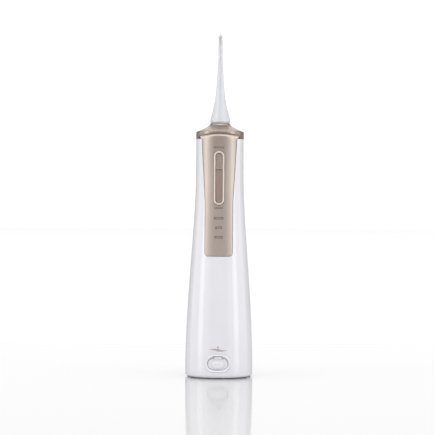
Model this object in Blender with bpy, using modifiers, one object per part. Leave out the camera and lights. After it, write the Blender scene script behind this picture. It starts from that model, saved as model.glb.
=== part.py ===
"""Cordless water flosser: a flared tank sleeve, a lift-out handle with its pump, and a nozzle.

The tool stands on its base at the origin, +Z up, with its control panel facing -Y and +X on the right of
someone who looks at the panel. Every length is in metres; MM turns millimetres into metres.
"""
import math

import bmesh
import bpy
from mathutils import Matrix, Vector

MM = 0.001
COLLECTION_NAME = "water_flosser"

# ---------------------------------------------------------------- driving dimensions
GAP = 0.3 * MM                      # air left between two pieces that touch or are joined
SECTION_POWER = 2.3                 # superellipse power of the body's rounded-oval sections
SECTION_SIDES = 40

# Tank sleeve
BASE_HALF_WIDTH = 29.5 * MM
BASE_HALF_DEPTH = 33.0 * MM
TOP_HALF_WIDTH = 20.9 * MM
TOP_HALF_DEPTH = 23.4 * MM
SHELL_TOP = 205.1 * MM
FLARE_HEIGHT = SHELL_TOP - 29.7 * MM    # the body is straight above this height
FLARE_POWER = 1.6
SHELL_BOTTOM = 0.6 * MM
SHELL_WALL = 2.0 * MM
FOOT_ROUNDING = ((0.0, 2.1), (0.5, 1.1), (1.3, 0.4))    # (height above the shell's bottom, inset) in mm
FOOT_ROUNDING_TOP = 2.6 * MM
BASE_PLATE_THICKNESS = 2.5 * MM
FOOT_HEIGHT = 1.0 * MM
FOOT_INSET = 5.0 * MM
FOOT_WIDTH = 5.0 * MM

# Handle core: a dry capsule, wide above the collar and slim in the water below it
SHOULDER_Z = 99.9 * MM
CORE_CLEARANCE = 0.5 * MM           # between the capsule and the inside of the sleeve
UPPER_HALF_WIDTH = TOP_HALF_WIDTH - SHELL_WALL - CORE_CLEARANCE
UPPER_HALF_DEPTH = TOP_HALF_DEPTH - SHELL_WALL - CORE_CLEARANCE
LOWER_HALF_WIDTH = 15.0 * MM
LOWER_HALF_DEPTH = 17.0 * MM
CORE_WALL = 1.6 * MM
CORE_BOTTOM = 32.0 * MM
CORE_TOP = SHELL_TOP - 0.8 * MM
COLLAR_THICKNESS = 3.0 * MM
GASKET_THICKNESS = 2.0 * MM
COLLAR_CLEARANCE = 0.5 * MM         # running clearance of the slim capsule in the collar

# Front panel
PANEL_BOTTOM = SHOULDER_Z + 4.7 * MM
PANEL_HALF_WIDTH = 11.7 * MM
PANEL_TOP_HALF_WIDTH = 15.0 * MM
PANEL_TAPER_START = SHELL_TOP - 55.7 * MM
PANEL_CORNER = 3.0 * MM
PANEL_PROUD = 0.4 * MM
PANEL_THICKNESS = 2.0 * MM
CREST_EDGE_Z = SHELL_TOP - 0.2 * MM     # panel's top edge at its sides
CREST_RISE = 2.6 * MM
BEVEL_HALF_WIDTH = 17.8 * MM        # bright bevel above the panel
BEVEL_EDGE_Z = CREST_EDGE_Z + 2.6 * MM
BEVEL_RISE = 2.2 * MM
BEVEL_DEPTH = 2.4 * MM
CARRIER_HALF_WIDTH = 10.2 * MM
CARRIER_BOTTOM = PANEL_BOTTOM + 3.6 * MM
CARRIER_TOP = SHELL_TOP - 4.7 * MM
BOARD_HALF_WIDTH = 8.5 * MM
BOARD_INSET = 2.0 * MM              # how far the board's ends stop short of the carrier's

# Keys and their ring
RING_BOTTOM = SHELL_TOP - 57.0 * MM
RING_TOP = SHELL_TOP - 10.9 * MM
RING_HALF_WIDTH = 4.55 * MM
RING_WIDTH = 1.45 * MM
RING_PROUD = 0.4 * MM
KEY_SPLIT_Z = SHELL_TOP - 27.1 * MM
KEY_SPLIT_GAP = 0.5 * MM
KEY_TRAVEL = 0.6 * MM
KEY_FLANGE = 1.3 * MM               # how far the retaining flange reaches past the key's sides
KEY_FLANGE_THICKNESS = 0.8 * MM
STEM_RADIUS = 1.1 * MM
SWITCH_SIZE = 4.4 * MM

# Indicator windows: (height of the centre, width)
INDICATORS = (
    (SHELL_TOP - 68.3 * MM, 7.0 * MM),
    (SHELL_TOP - 76.4 * MM, 5.0 * MM),
    (SHELL_TOP - 84.6 * MM, 6.0 * MM),
)
INDICATOR_HEIGHT = 1.3 * MM

# Fill port at the foot of the front
PORT_Z = 12.8 * MM
PORT_HALF_WIDTH = 11.1 * MM
PORT_HALF_HEIGHT = 7.6 * MM
PORT_LIP = 2.5 * MM
PORT_PROUD = 0.3 * MM
FLAP_RECESS = 0.8 * MM
FLAP_PAD_HALF_WIDTH = 5.0 * MM
FLAP_PAD_HALF_HEIGHT = 3.0 * MM
FLAP_PAD_RISE = 1.3 * MM
PLUG_HALF_WIDTH = 5.4 * MM
PLUG_HALF_HEIGHT = 2.4 * MM
PLUG_DEPTH = 1.6 * MM
PLUG_CLEARANCE = 0.8 * MM
PIN_RADIUS = 0.5 * MM
PIN_CLEARANCE = 0.2 * MM
KNUCKLE_RADIUS = 1.1 * MM
KNUCKLE_HALF_LENGTH = 3.4 * MM
HINGE_DEPTH = 1.3 * MM              # how far behind the foot's front face the flap's hinge lies

# Cap, socket and nozzle
CAP_RIM_HEIGHT = 5.4 * MM
CAP_HEIGHT = 13.3 * MM
CAP_NECK_RADIUS = 8.7 * MM
CAP_ROOF = 1.6 * MM
CAP_WALL = 2.0 * MM
CAP_CURVE = 0.48                    # how hollow the cap's slope is
STEM_DIAMETER = 7.1 * MM
STEM_LENGTH = 24.8 * MM
SOCKET_BORE = STEM_DIAMETER / 2 + 0.35 * MM
SOCKET_RADIUS = SOCKET_BORE + 2.1 * MM
OUTLET_BORE = STEM_DIAMETER / 2 + 0.55 * MM
OUTLET_RADIUS = OUTLET_BORE + 3.4 * MM
OUTLET_DEPTH = 14.0 * MM
NOZZLE_BASE_RADIUS = 8.9 * MM
NOZZLE_LENGTH = 75.0 * MM           # from the base of the cone to the tip
NOZZLE_CONE = (                     # (height above the cone's base, radius) in mm
    (2.8, 8.45), (8.9, 6.85), (15.9, 5.26), (22.8, 4.08),
    (29.8, 3.44), (39.0, 2.88), (49.0, 2.14), (54.5, 1.9),
)
TIP_RADIUS = 1.55 * MM
TIP_BEND = math.radians(45)
TIP_BEND_RADIUS = 9.0 * MM
TIP_RUN = 3.5 * MM

# Release button
BUTTON_HALF_WIDTH = 4.7 * MM
BUTTON_HEIGHT = 3.2 * MM
BUTTON_PROUD = 0.8 * MM
BUTTON_TRAVEL = 1.2 * MM
LATCH_THICKNESS = 2.2 * MM
LATCH_HALF_WIDTH = 6.6 * MM
LATCH_HOLE_RADIUS = STEM_DIAMETER / 2 + 1.05 * MM
LATCH_BACK_Y = 15.2 * MM

# Charging inlet on the back
TONGUE_BOTTOM = SHELL_TOP - 29.7 * MM
TONGUE_HALF_WIDTH = 7.0 * MM
INLET_Z = SHELL_TOP - 17.7 * MM
INLET_HALF_WIDTH = 4.4 * MM
INLET_HALF_HEIGHT = 1.8 * MM
COVER_HALF_WIDTH = 5.3 * MM
COVER_HALF_HEIGHT = 3.6 * MM
COVER_THICKNESS = 1.0 * MM

# Drive and pump
BATTERY_RADIUS = 9.2 * MM
BATTERY_LENGTH = 64.8 * MM
BATTERY_Y = -4.0 * MM
MOTOR_RADIUS = 10.0 * MM
MOTOR_FLAT = 7.5 * MM
MOTOR_LENGTH = 22.8 * MM
MOTOR_Z = SHOULDER_Z + 11.1 * MM
SHAFT_RADIUS = 0.9 * MM
GEAR_MODULE = 0.5 * MM
PINION_TEETH = 10
GEAR_TEETH = 36
PRESSURE_ANGLE = math.radians(25)
GEAR_THICKNESS = 2.3 * MM
GEAR_BACKLASH = 0.16 * MM
CRANK_THROW = 3.0 * MM
ROD_LENGTH = 22.0 * MM
ROD_HALF_WIDTH = 2.2 * MM
ROD_THICKNESS = 1.6 * MM
PISTON_RADIUS = 4.0 * MM
PISTON_CLEARANCE = 0.3 * MM
CYLINDER_WALL = 1.7 * MM
FRAME_HALF_WIDTH = UPPER_HALF_WIDTH - 6.8 * MM
TUBE_RADIUS = 1.8 * MM
STRAINER_TOP = 15.0 * MM

# ---------------------------------------------------------------- places worked out from them
COLLAR_TOP = SHOULDER_Z - GAP - GASKET_THICKNESS - GAP
CAP_BOTTOM = SHELL_TOP + GAP
CAP_TOP = SHELL_TOP + GAP + CAP_HEIGHT
RIM_TOP = CAP_BOTTOM + CAP_RIM_HEIGHT
NOZZLE_BOTTOM = CAP_TOP + GAP + 0.8 * MM + GAP
STEM_BOTTOM = NOZZLE_BOTTOM - STEM_LENGTH
PANEL_FRONT_Y = -(TOP_HALF_DEPTH + PANEL_PROUD)
RING_BACK_Y = PANEL_FRONT_Y + 1.9 * MM
FLANGE_FRONT_Y = RING_BACK_Y + GAP
FLANGE_BACK_Y = FLANGE_FRONT_Y + KEY_FLANGE_THICKNESS
POCKET_Y = FLANGE_BACK_Y + KEY_TRAVEL + GAP
CARRIER_BACK_Y = POCKET_Y + 1.0 * MM
BOARD_Y = CARRIER_BACK_Y + 2.5 * MM
BOARD_THICKNESS = 1.0 * MM
FRAME_FRONT_Y = BOARD_Y + BOARD_THICKNESS + 0.5 * MM
FRAME_WALL = 1.2 * MM
GEAR_Y = FRAME_FRONT_Y + FRAME_WALL + 0.5 * MM
ROD_Y = GEAR_Y + GEAR_THICKNESS + 1.6 * MM
MOTOR_PLATE_Y = ROD_Y + GAP
MOTOR_Y = ROD_Y + ROD_THICKNESS + GAP
GEAR_Z = MOTOR_Z + GEAR_MODULE * (PINION_TEETH + GEAR_TEETH) / 2
CRANK_Z = GEAR_Z - CRANK_THROW
WRIST_Z = CRANK_Z + ROD_LENGTH
PISTON_Y = ROD_Y + ROD_THICKNESS / 2
PISTON_BOTTOM = WRIST_Z - 3.5 * MM
PISTON_TOP = WRIST_Z + 5.7 * MM
CYLINDER_BOTTOM = PISTON_BOTTOM - 1.0 * MM
CYLINDER_TOP = PISTON_TOP + 2 * CRANK_THROW + 1.8 * MM
CYLINDER_RADIUS = PISTON_RADIUS + PISTON_CLEARANCE + CYLINDER_WALL
FLANGE_Z = WRIST_Z + 4.3 * MM
HEAD_BOTTOM = CYLINDER_TOP + GAP
HEAD_TOP = HEAD_BOTTOM + 9.7 * MM
SUCTION_Y = 10.5 * MM
FLAP_HINGE_Z = PORT_Z - 0.1 * MM + PORT_HALF_HEIGHT - PORT_LIP
FLAP_HINGE_Y = -(BASE_HALF_DEPTH - HINGE_DEPTH)
FLAP_HALF_WIDTH = PORT_HALF_WIDTH - PORT_LIP
FLAP_CENTRE_Z = FLAP_HINGE_Z - (PORT_HALF_HEIGHT - PORT_LIP)
PORT_SEAT_Y = -(BASE_HALF_DEPTH - 3.8 * MM)
PORT_BACK_Y = PORT_SEAT_Y + 1.6 * MM
FLAP_BACK_Y = PORT_SEAT_Y - GAP
SPIGOT_BOTTOM = CORE_BOTTOM - 4.8 * MM
PLUG_TOP = CORE_BOTTOM - GAP + 2.0 * MM
RING_CENTRE_Z = (RING_BOTTOM + RING_TOP) / 2
RING_HALF_HEIGHT = (RING_TOP - RING_BOTTOM) / 2
KEY_HALF_WIDTH = RING_HALF_WIDTH - RING_WIDTH - GAP
POWER_STEM_Z = (KEY_SPLIT_Z + RING_TOP - RING_WIDTH) / 2
MODE_STEM_Z = (KEY_SPLIT_Z + RING_BOTTOM + RING_WIDTH) / 2
BUTTON_BOTTOM = CAP_BOTTOM + 0.7 * MM
BUTTON_TOP = BUTTON_BOTTOM + BUTTON_HEIGHT
LATCH_BOTTOM = STEM_BOTTOM + 6.8 * MM
LATCH_TOP = LATCH_BOTTOM + LATCH_THICKNESS
BLOCK_TOP = LATCH_BOTTOM - GAP
SEAL_Z = STEM_BOTTOM + 3.2 * MM
COVER_BACK_Y = TOP_HALF_DEPTH - COVER_THICKNESS + 0.1 * MM


# ---------------------------------------------------------------- scene and material helpers
def empty_scene():
    """Remove the scene's objects and return the parts and cutters collections."""
    for scene_object in list(bpy.data.objects):
        bpy.data.objects.remove(scene_object, do_unlink=True)
    collections = []
    for name in (COLLECTION_NAME, "cutters"):
        collection = bpy.data.collections.new(name)
        bpy.context.scene.collection.children.link(collection)
        collections.append(collection)
    return collections


PARTS, CUTTERS = empty_scene()


def principled(name, color, roughness, metallic=0.0, alpha=1.0):
    """A Principled BSDF material."""
    material = bpy.data.materials.new(name)
    material.use_nodes = True
    shader = material.node_tree.nodes["Principled BSDF"]
    shader.inputs["Base Color"].default_value = (*color, 1.0)
    shader.inputs["Roughness"].default_value = roughness
    shader.inputs["Metallic"].default_value = metallic
    shader.inputs["Alpha"].default_value = alpha
    return material


WHITE = principled("white_gloss_abs", (0.80, 0.80, 0.83), 0.22)
INNER_WHITE = principled("inner_abs", (0.72, 0.73, 0.75), 0.45)
CHAMPAGNE = principled("champagne_anodised", (0.42, 0.34, 0.28), 0.30, 0.9)
CHAMPAGNE_BRIGHT = principled("champagne_polished", (0.70, 0.60, 0.53), 0.15, 1.0)
KEY_BROWN = principled("key_satin", (0.36, 0.29, 0.25), 0.35, 0.6)
SILICONE = principled("silicone", (0.78, 0.79, 0.80), 0.55)
SEAL_BLACK = principled("seal_rubber", (0.03, 0.03, 0.03), 0.7)
CLEAR = principled("translucent_nozzle", (0.86, 0.87, 0.90), 0.15, 0.0, 0.8)
STEEL = principled("steel", (0.55, 0.55, 0.56), 0.3, 1.0)
ACETAL = principled("acetal", (0.75, 0.74, 0.70), 0.4)
BOARD_GREEN = principled("board_green", (0.03, 0.18, 0.08), 0.5)
CELL_BLUE = principled("cell_wrap", (0.05, 0.18, 0.42), 0.4)
SWITCH_BLACK = principled("switch_black", (0.05, 0.05, 0.05), 0.5)
LAMP = principled("lamp_window", (0.85, 0.82, 0.78), 0.3)


def finish(part, material):
    """Shade a part smooth between its sharp edges and give it its material."""
    part.data.materials.clear()
    part.data.materials.append(material)
    part.data.shade_smooth()
    part.data.set_sharp_from_angle(angle=math.radians(35))
    return part


def add_mesh(name, mesh_builder, material=None):
    """Link a new object whose mesh comes from a bmesh; with no material it is a cutter."""
    mesh = bpy.data.meshes.new(name)
    mesh_builder.to_mesh(mesh)
    mesh_builder.free()
    part = bpy.data.objects.new(name, mesh)
    if material is None:
        CUTTERS.objects.link(part)
        part.hide_render = True
        part.display_type = "WIRE"
        return part
    PARTS.objects.link(part)
    return finish(part, material)


def combine(part, other, operation):
    """Add a Boolean modifier that cuts, joins or keeps what it shares with another object."""
    modifier = part.modifiers.new(f"{operation.lower()}_{other.name}"[:60], "BOOLEAN")
    modifier.operation = operation
    modifier.object = other
    return part


def cut(part, *cutters):
    """Cut each cutter out of a part."""
    for cutter in cutters:
        combine(part, cutter, "DIFFERENCE")
    return part


# ---------------------------------------------------------------- shape helpers
def loft(name, rings, material=None, closed=False):
    """Skin equal-sided rings in order, capping both ends, or closing the last ring onto the first."""
    builder = bmesh.new()
    rows = [[builder.verts.new(point) for point in ring] for ring in rings]
    pairs = list(zip(rows, rows[1:]))
    if closed:
        pairs.append((rows[-1], rows[0]))
    else:
        builder.faces.new(list(reversed(rows[0])))
        builder.faces.new(rows[-1])
    for lower, upper in pairs:
        for here in range(len(lower)):
            after = (here + 1) % len(lower)
            builder.faces.new((lower[here], lower[after], upper[after], upper[here]))
    return add_mesh(name, builder, material)


def box(name, low, high, material=None, bevel=0.0):
    """A box between two corners, with its edges rounded on request."""
    low, high = Vector(low), Vector(high)
    builder = bmesh.new()
    place = Matrix.Translation((low + high) / 2) @ Matrix.Diagonal((*(high - low), 1.0))
    bmesh.ops.create_cube(builder, size=1.0, matrix=place)
    part = add_mesh(name, builder, material)
    if bevel:
        modifier = part.modifiers.new("rounding", "BEVEL")
        modifier.width = bevel
        modifier.segments = 2
    return part


def rod(name, start, end, radius, material=None, sides=24):
    """A cylinder from one point to another."""
    start, end = Vector(start), Vector(end)
    turn = (end - start).to_track_quat("Z", "Y").to_matrix().to_4x4()
    builder = bmesh.new()
    bmesh.ops.create_cone(
        builder, cap_ends=True, segments=sides, radius1=radius, radius2=radius,
        depth=(end - start).length, matrix=Matrix.Translation((start + end) / 2) @ turn,
    )
    return add_mesh(name, builder, material)


def torus(name, centre, major, minor, material, sides=24, tube_sides=8):
    """A ring of round section about a vertical axis."""
    rings = []
    for step in range(sides):
        angle = 2 * math.pi * step / sides
        direction = Vector((math.cos(angle), math.sin(angle), 0.0))
        ring = []
        for tube_step in range(tube_sides):
            around = 2 * math.pi * tube_step / tube_sides
            reach = direction * (major + minor * math.cos(around))
            ring.append(Vector(centre) + reach - Vector((0, 0, minor * math.sin(around))))
        rings.append(ring)
    return loft(name, rings, material, closed=True)


def turned(name, profile, material=None, centre=(0.0, 0.0), sides=24):
    """A solid of revolution about a vertical axis from a closed (radius, height) profile."""
    mesh = bpy.data.meshes.new(name)
    edges = [(here, (here + 1) % len(profile)) for here in range(len(profile))]
    mesh.from_pydata([(radius, 0.0, height) for radius, height in profile], edges, [])
    part = bpy.data.objects.new(name, mesh)
    part.location = (*centre, 0.0)
    screw = part.modifiers.new("turning", "SCREW")
    screw.steps = screw.render_steps = sides
    screw.use_merge_vertices = True
    screw.merge_threshold = 0.00001
    screw.use_smooth_shade = False
    if material is None:
        CUTTERS.objects.link(part)
        part.hide_render = True
        part.display_type = "WIRE"
        return part
    PARTS.objects.link(part)
    part.data.materials.append(material)
    return part


def plate(name, outlines, low, high, material=None, axis="Y"):
    """Extrude flat outlines (the first is the edge, the rest are holes) from low to high along an axis.

    An outline for axis Y is (x, z) points; for axis Z it is (x, y) points.
    """
    curve = bpy.data.curves.new(name, "CURVE")
    curve.dimensions = "2D"
    curve.fill_mode = "BOTH"
    curve.extrude = (high - low) / 2
    for outline in outlines:
        spline = curve.splines.new("POLY")
        spline.points.add(len(outline) - 1)
        for point, (across, up) in zip(spline.points, outline):
            point.co = (across, up, 0.0, 1.0)
        spline.use_cyclic_u = True
    drawing = bpy.data.objects.new(name + "_drawing", curve)
    bpy.context.scene.collection.objects.link(drawing)
    centre = (low + high) / 2
    if axis == "Y":
        upright = Matrix.Rotation(math.pi / 2, 4, "X")
        drawing.matrix_world = Matrix.Translation((0, centre, 0)) @ upright
    else:
        drawing.matrix_world = Matrix.Translation((0, 0, centre))
    bpy.context.view_layer.update()
    evaluated = drawing.evaluated_get(bpy.context.evaluated_depsgraph_get())
    builder = bmesh.new()
    builder.from_mesh(bpy.data.meshes.new_from_object(evaluated))
    bmesh.ops.transform(builder, matrix=drawing.matrix_world, verts=builder.verts)
    bmesh.ops.remove_doubles(builder, verts=builder.verts, dist=0.000001)
    bmesh.ops.recalc_face_normals(builder, faces=builder.faces)
    bpy.data.objects.remove(drawing, do_unlink=True)
    return add_mesh(name, builder, material)


def tube(name, points, radius, material):
    """A hose along a smooth route through its points."""
    route = smooth_route([Vector(point) for point in points], 3)
    curve = bpy.data.curves.new(name, "CURVE")
    curve.dimensions = "3D"
    curve.bevel_depth = radius
    curve.bevel_resolution = 1
    curve.use_fill_caps = True
    spline = curve.splines.new("POLY")
    spline.points.add(len(route) - 1)
    for point, place in zip(spline.points, route):
        point.co = (*place, 1.0)
    part = bpy.data.objects.new(name, curve)
    PARTS.objects.link(part)
    curve.materials.append(material)
    return part


def smooth_route(points, steps):
    """Points along a Catmull-Rom curve through the given ones."""
    padded = [2 * points[0] - points[1], *points, 2 * points[-1] - points[-2]]
    route = [points[0]]
    for before, start, end, after in zip(padded, padded[1:], padded[2:], padded[3:]):
        for step in range(1, steps + 1):
            t = step / steps
            route.append(0.5 * (
                2 * start + (end - before) * t
                + (2 * before - 5 * start + 4 * end - after) * t ** 2
                + (3 * start - before - 3 * end + after) * t ** 3
            ))
    return route


# ---------------------------------------------------------------- outlines
def flare(height):
    """How much of the base's extra size the body still has at a height: 1 at the base, 0 at the top."""
    if height >= FLARE_HEIGHT:
        return 0.0
    return math.cos(math.pi / 2 * max(height, 0.0) / FLARE_HEIGHT) ** FLARE_POWER


def half_width(height):
    return TOP_HALF_WIDTH + (BASE_HALF_WIDTH - TOP_HALF_WIDTH) * flare(height)


def half_depth(height):
    return TOP_HALF_DEPTH + (BASE_HALF_DEPTH - TOP_HALF_DEPTH) * flare(height)


def oval(width, depth, height, power=SECTION_POWER):
    """A superellipse ring with the given half sizes."""
    ring = []
    for step in range(SECTION_SIDES):
        angle = 2 * math.pi * step / SECTION_SIDES
        cosine, sine = math.cos(angle), math.sin(angle)
        ring.append((
            math.copysign(width * abs(cosine) ** (2 / power), cosine),
            math.copysign(depth * abs(sine) ** (2 / power), sine),
            height,
        ))
    return ring


def body_ring(height, grow=0.0):
    """The body's section at a height, grown or shrunk."""
    return oval(half_width(height) + grow, half_depth(height) + grow, height)


def front_y(across, height, grow=0.0):
    """The front surface's y at a distance from the middle plane and a height."""
    share = min(abs(across) / (half_width(height) + grow), 1.0)
    return -(half_depth(height) + grow) * (1 - share ** SECTION_POWER) ** (1 / SECTION_POWER)


def heights(low, high, rows=9):
    """Section heights from low to high, with one where the straight top starts."""
    steps = [low + (high - low) * row / rows for row in range(rows + 1)]
    return sorted({*steps, min(max(FLARE_HEIGHT, low), high)})


def body_blank(name, grow, low, high, rows=9):
    """A solid of the body's outer shape, grown or shrunk, between two heights; a tool for trimming."""
    return loft(name, [body_ring(height, grow) for height in heights(low, high, rows)])


def arc_points(centre, radius, start, end, steps):
    """Points on an arc, angles in degrees."""
    angles = [math.radians(start + (end - start) * step / steps) for step in range(steps + 1)]
    return [(centre[0] + radius * math.cos(a), centre[1] + radius * math.sin(a)) for a in angles]


def circle(centre, radius, sides=24):
    return arc_points(centre, radius, 0, 360 * (sides - 1) / sides, sides - 1)


def stadium(centre_z, half_across, half_up, steps=10):
    """A lying stadium or a standing pill about the middle plane, as (x, z) points."""
    if half_across >= half_up:
        offset = half_across - half_up
        right = arc_points((offset, centre_z), half_up, -90, 90, steps)
        return right + arc_points((-offset, centre_z), half_up, 90, 270, steps)
    offset = half_up - half_across
    top = arc_points((0, centre_z + offset), half_across, 0, 180, steps)
    return top + arc_points((0, centre_z - offset), half_across, 180, 360, steps)


def half_pill(flat_z, round_z, half_across, steps=10):
    """A bar with one flat end and one round end, as (x, z) points."""
    if round_z > flat_z:
        end = arc_points((0, round_z - half_across), half_across, 0, 180, steps)
    else:
        end = arc_points((0, round_z + half_across), half_across, 180, 360, steps)
    return end + [(-half_across if round_z > flat_z else half_across, flat_z),
                  (half_across if round_z > flat_z else -half_across, flat_z)]


def rounded_rectangle(low, high, radius, steps=4):
    """A rectangle with rounded corners."""
    corners = (
        ((high[0], low[1]), -90),
        ((high[0], high[1]), 0),
        ((low[0], high[1]), 90),
        ((low[0], low[1]), 180),
    )
    outline = []
    for (across, up), start in corners:
        centre = (across - math.copysign(radius, across - (low[0] + high[0]) / 2),
                  up - math.copysign(radius, up - (low[1] + high[1]) / 2))
        outline += arc_points(centre, radius, start, start + 90, steps)
    return outline


def panel_half_width(height):
    """The panel's half width: straight, then widening to its top."""
    share = max(height - PANEL_TAPER_START, 0.0) / (CREST_EDGE_Z - PANEL_TAPER_START)
    return PANEL_HALF_WIDTH + (PANEL_TOP_HALF_WIDTH - PANEL_HALF_WIDTH) * share


def panel_opening():
    """Outline of the notch that the panel lies in, open past the sleeve's top."""
    low = PANEL_BOTTOM - GAP
    side = PANEL_HALF_WIDTH + GAP
    radius = PANEL_CORNER + GAP
    over_top = CREST_EDGE_Z + 8 * MM
    right = arc_points((side - radius, low + radius), radius, -90, 0, 6)
    right += [(side, PANEL_TAPER_START), (panel_half_width(over_top) + GAP, over_top)]
    return right + [(-across, up) for across, up in reversed(right)]


def crest(across, half_across, edge, rise):
    """Height of an arched edge at a distance from the middle plane."""
    return edge + rise * (1 - (across / half_across) ** 2)


def involute_gear(teeth, tooth_up):
    """Outline of a stub-tooth spur gear; tooth_up puts a tooth, not a space, at +90 degrees."""
    pitch = GEAR_MODULE * teeth / 2
    base = pitch * math.cos(PRESSURE_ANGLE)
    tip = pitch + 0.8 * GEAR_MODULE
    root = pitch - 1.1 * GEAR_MODULE
    half_tooth = (math.pi * GEAR_MODULE / 2 - GEAR_BACKLASH) / (2 * pitch)
    at_pitch = math.tan(PRESSURE_ANGLE) - PRESSURE_ANGLE
    start = max(base, root)
    flank = []
    for step in range(3):
        radius = start + (tip - start) * step / 2
        roll = math.acos(min(base / radius, 1.0))
        flank.append((radius, half_tooth + at_pitch - (math.tan(roll) - roll)))
    if root < base:
        flank.insert(0, (root, flank[0][1]))
    outline = []
    phase = math.pi / 2 + (0.0 if tooth_up else math.pi / teeth)
    for tooth in range(teeth):
        middle = phase + 2 * math.pi * tooth / teeth
        outline += [(radius, middle - half) for radius, half in flank]
        outline += [(radius, middle + half) for radius, half in reversed(flank)]
    return [(radius * math.cos(angle), radius * math.sin(angle)) for radius, angle in outline]


def shifted(outline, up):
    return [(across, height + up) for across, height in outline]


# ---------------------------------------------------------------- tank sleeve
def tank_shell():
    rings = [body_ring(SHELL_BOTTOM + rise * MM, -inset * MM) for rise, inset in FOOT_ROUNDING]
    rings += [body_ring(height) for height in heights(SHELL_BOTTOM + FOOT_ROUNDING_TOP, SHELL_TOP)]
    shell = loft("tank_shell", rings, WHITE)
    cut(shell, body_blank("tank_hollow", -SHELL_WALL, SHELL_BOTTOM - 5 * MM, SHELL_TOP + 5 * MM))
    cut(shell, plate("panel_notch", [panel_opening()], -50 * MM, -10 * MM))
    port = stadium(PORT_Z, PORT_HALF_WIDTH + GAP, PORT_HALF_HEIGHT + GAP)
    cut(shell, plate("port_hole", [port], -50 * MM, -10 * MM))
    tongue = rounded_rectangle(
        (-TONGUE_HALF_WIDTH - GAP, TONGUE_BOTTOM - GAP),
        (TONGUE_HALF_WIDTH + GAP, SHELL_TOP + 9 * MM), 2 * MM)
    return cut(shell, plate("tongue_notch", [tongue], 10 * MM, 50 * MM))


def oval_plate(name, width, depth, low, high, material=None):
    """A flat plate of oval outline."""
    return loft(name, [oval(width, depth, low), oval(width, depth, high)], material)


def tank_collar():
    low = COLLAR_TOP - COLLAR_THICKNESS
    inner = -(SHELL_WALL + GAP)
    collar = loft("tank_collar", [body_ring(low, inner), body_ring(COLLAR_TOP, inner)], INNER_WHITE)
    return cut(collar, collar_bore("collar_bore", low - 2 * MM, COLLAR_TOP + 2 * MM))


def collar_bore(name, low, high):
    across, along = LOWER_HALF_WIDTH + COLLAR_CLEARANCE, LOWER_HALF_DEPTH + COLLAR_CLEARANCE
    return oval_plate(name, across, along, low, high)


def collar_gasket():
    low = COLLAR_TOP + GAP
    high = low + GASKET_THICKNESS
    across, along = UPPER_HALF_WIDTH - 2 * GAP, UPPER_HALF_DEPTH - 2 * GAP
    gasket = oval_plate("collar_gasket", across, along, low, high, SILICONE)
    return cut(gasket, collar_bore("gasket_bore", low - 2 * MM, high + 2 * MM))


def base_plate():
    low = FOOT_HEIGHT + GAP
    inner = -(SHELL_WALL + GAP)
    return loft("base_plate", [body_ring(low, inner), body_ring(low + BASE_PLATE_THICKNESS, inner)], WHITE)


def foot_ring():
    foot = loft("foot_ring", [body_ring(0.0, -FOOT_INSET), body_ring(FOOT_HEIGHT, -FOOT_INSET)], SILICONE)
    return cut(foot, body_blank("foot_hollow", -FOOT_INSET - FOOT_WIDTH, -2 * MM, 4 * MM, 2))


# ---------------------------------------------------------------- fill port
def fill_port_frame():
    outer = stadium(PORT_Z, PORT_HALF_WIDTH, PORT_HALF_HEIGHT)
    frame = plate("fill_port_frame", [outer], -40 * MM, PORT_BACK_Y, WHITE)
    combine(frame, body_blank("port_trim", PORT_PROUD, -5 * MM, 40 * MM, 5), "INTERSECT")
    inside = stadium(FLAP_CENTRE_Z, PORT_HALF_WIDTH - PORT_LIP + GAP, PORT_HALF_HEIGHT - PORT_LIP + GAP)
    cut(frame, plate("flap_opening", [inside], -45 * MM, PORT_SEAT_Y))
    slot_top = FLAP_HINGE_Z + KNUCKLE_RADIUS + 0.5 * MM
    slot_half = KNUCKLE_HALF_LENGTH + 2 * GAP
    cut(frame, box("knuckle_slot", (-slot_half, -45 * MM, FLAP_CENTRE_Z),
                   (slot_half, PORT_SEAT_Y, slot_top)))
    water = stadium(FLAP_CENTRE_Z, PLUG_HALF_WIDTH + PLUG_CLEARANCE, PLUG_HALF_HEIGHT + PLUG_CLEARANCE)
    cut(frame, plate("fill_hole", [water], -45 * MM, -5 * MM))
    reach = slot_half + 2.6 * MM
    return cut(frame, hinge_rod("flap_pin_bore", reach, PIN_RADIUS + PIN_CLEARANCE))


def hinge_rod(name, half_length, radius, material=None):
    """A rod along the flap's hinge axis."""
    return rod(name, (-half_length, FLAP_HINGE_Y, FLAP_HINGE_Z), (half_length, FLAP_HINGE_Y, FLAP_HINGE_Z),
               radius, material, 16)


def fill_flap():
    outline = stadium(FLAP_CENTRE_Z, FLAP_HALF_WIDTH, PORT_HALF_HEIGHT - PORT_LIP)
    flap = plate("fill_flap", [outline], -40 * MM, FLAP_BACK_Y, WHITE)
    combine(flap, body_blank("flap_trim", -FLAP_RECESS, -5 * MM, 40 * MM, 5), "INTERSECT")
    pad_z = FLAP_CENTRE_Z - 1.2 * MM
    pad_outline = stadium(pad_z, FLAP_PAD_HALF_WIDTH, FLAP_PAD_HALF_HEIGHT)
    pad = plate("flap_pad", [pad_outline], -40 * MM, FLAP_HINGE_Y)
    combine(pad, body_blank("pad_trim", FLAP_PAD_RISE - FLAP_RECESS, -5 * MM, 40 * MM, 5), "INTERSECT")
    combine(flap, pad, "UNION")
    combine(flap, hinge_rod("flap_knuckle", KNUCKLE_HALF_LENGTH, KNUCKLE_RADIUS), "UNION")
    return cut(flap, hinge_rod("knuckle_bore", KNUCKLE_HALF_LENGTH + 4 * MM, PIN_RADIUS + PIN_CLEARANCE))


def fill_plug():
    outline = stadium(FLAP_CENTRE_Z, PLUG_HALF_WIDTH, PLUG_HALF_HEIGHT)
    return plate("fill_plug", [outline], PORT_SEAT_Y, PORT_SEAT_Y + PLUG_DEPTH, SILICONE)


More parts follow.
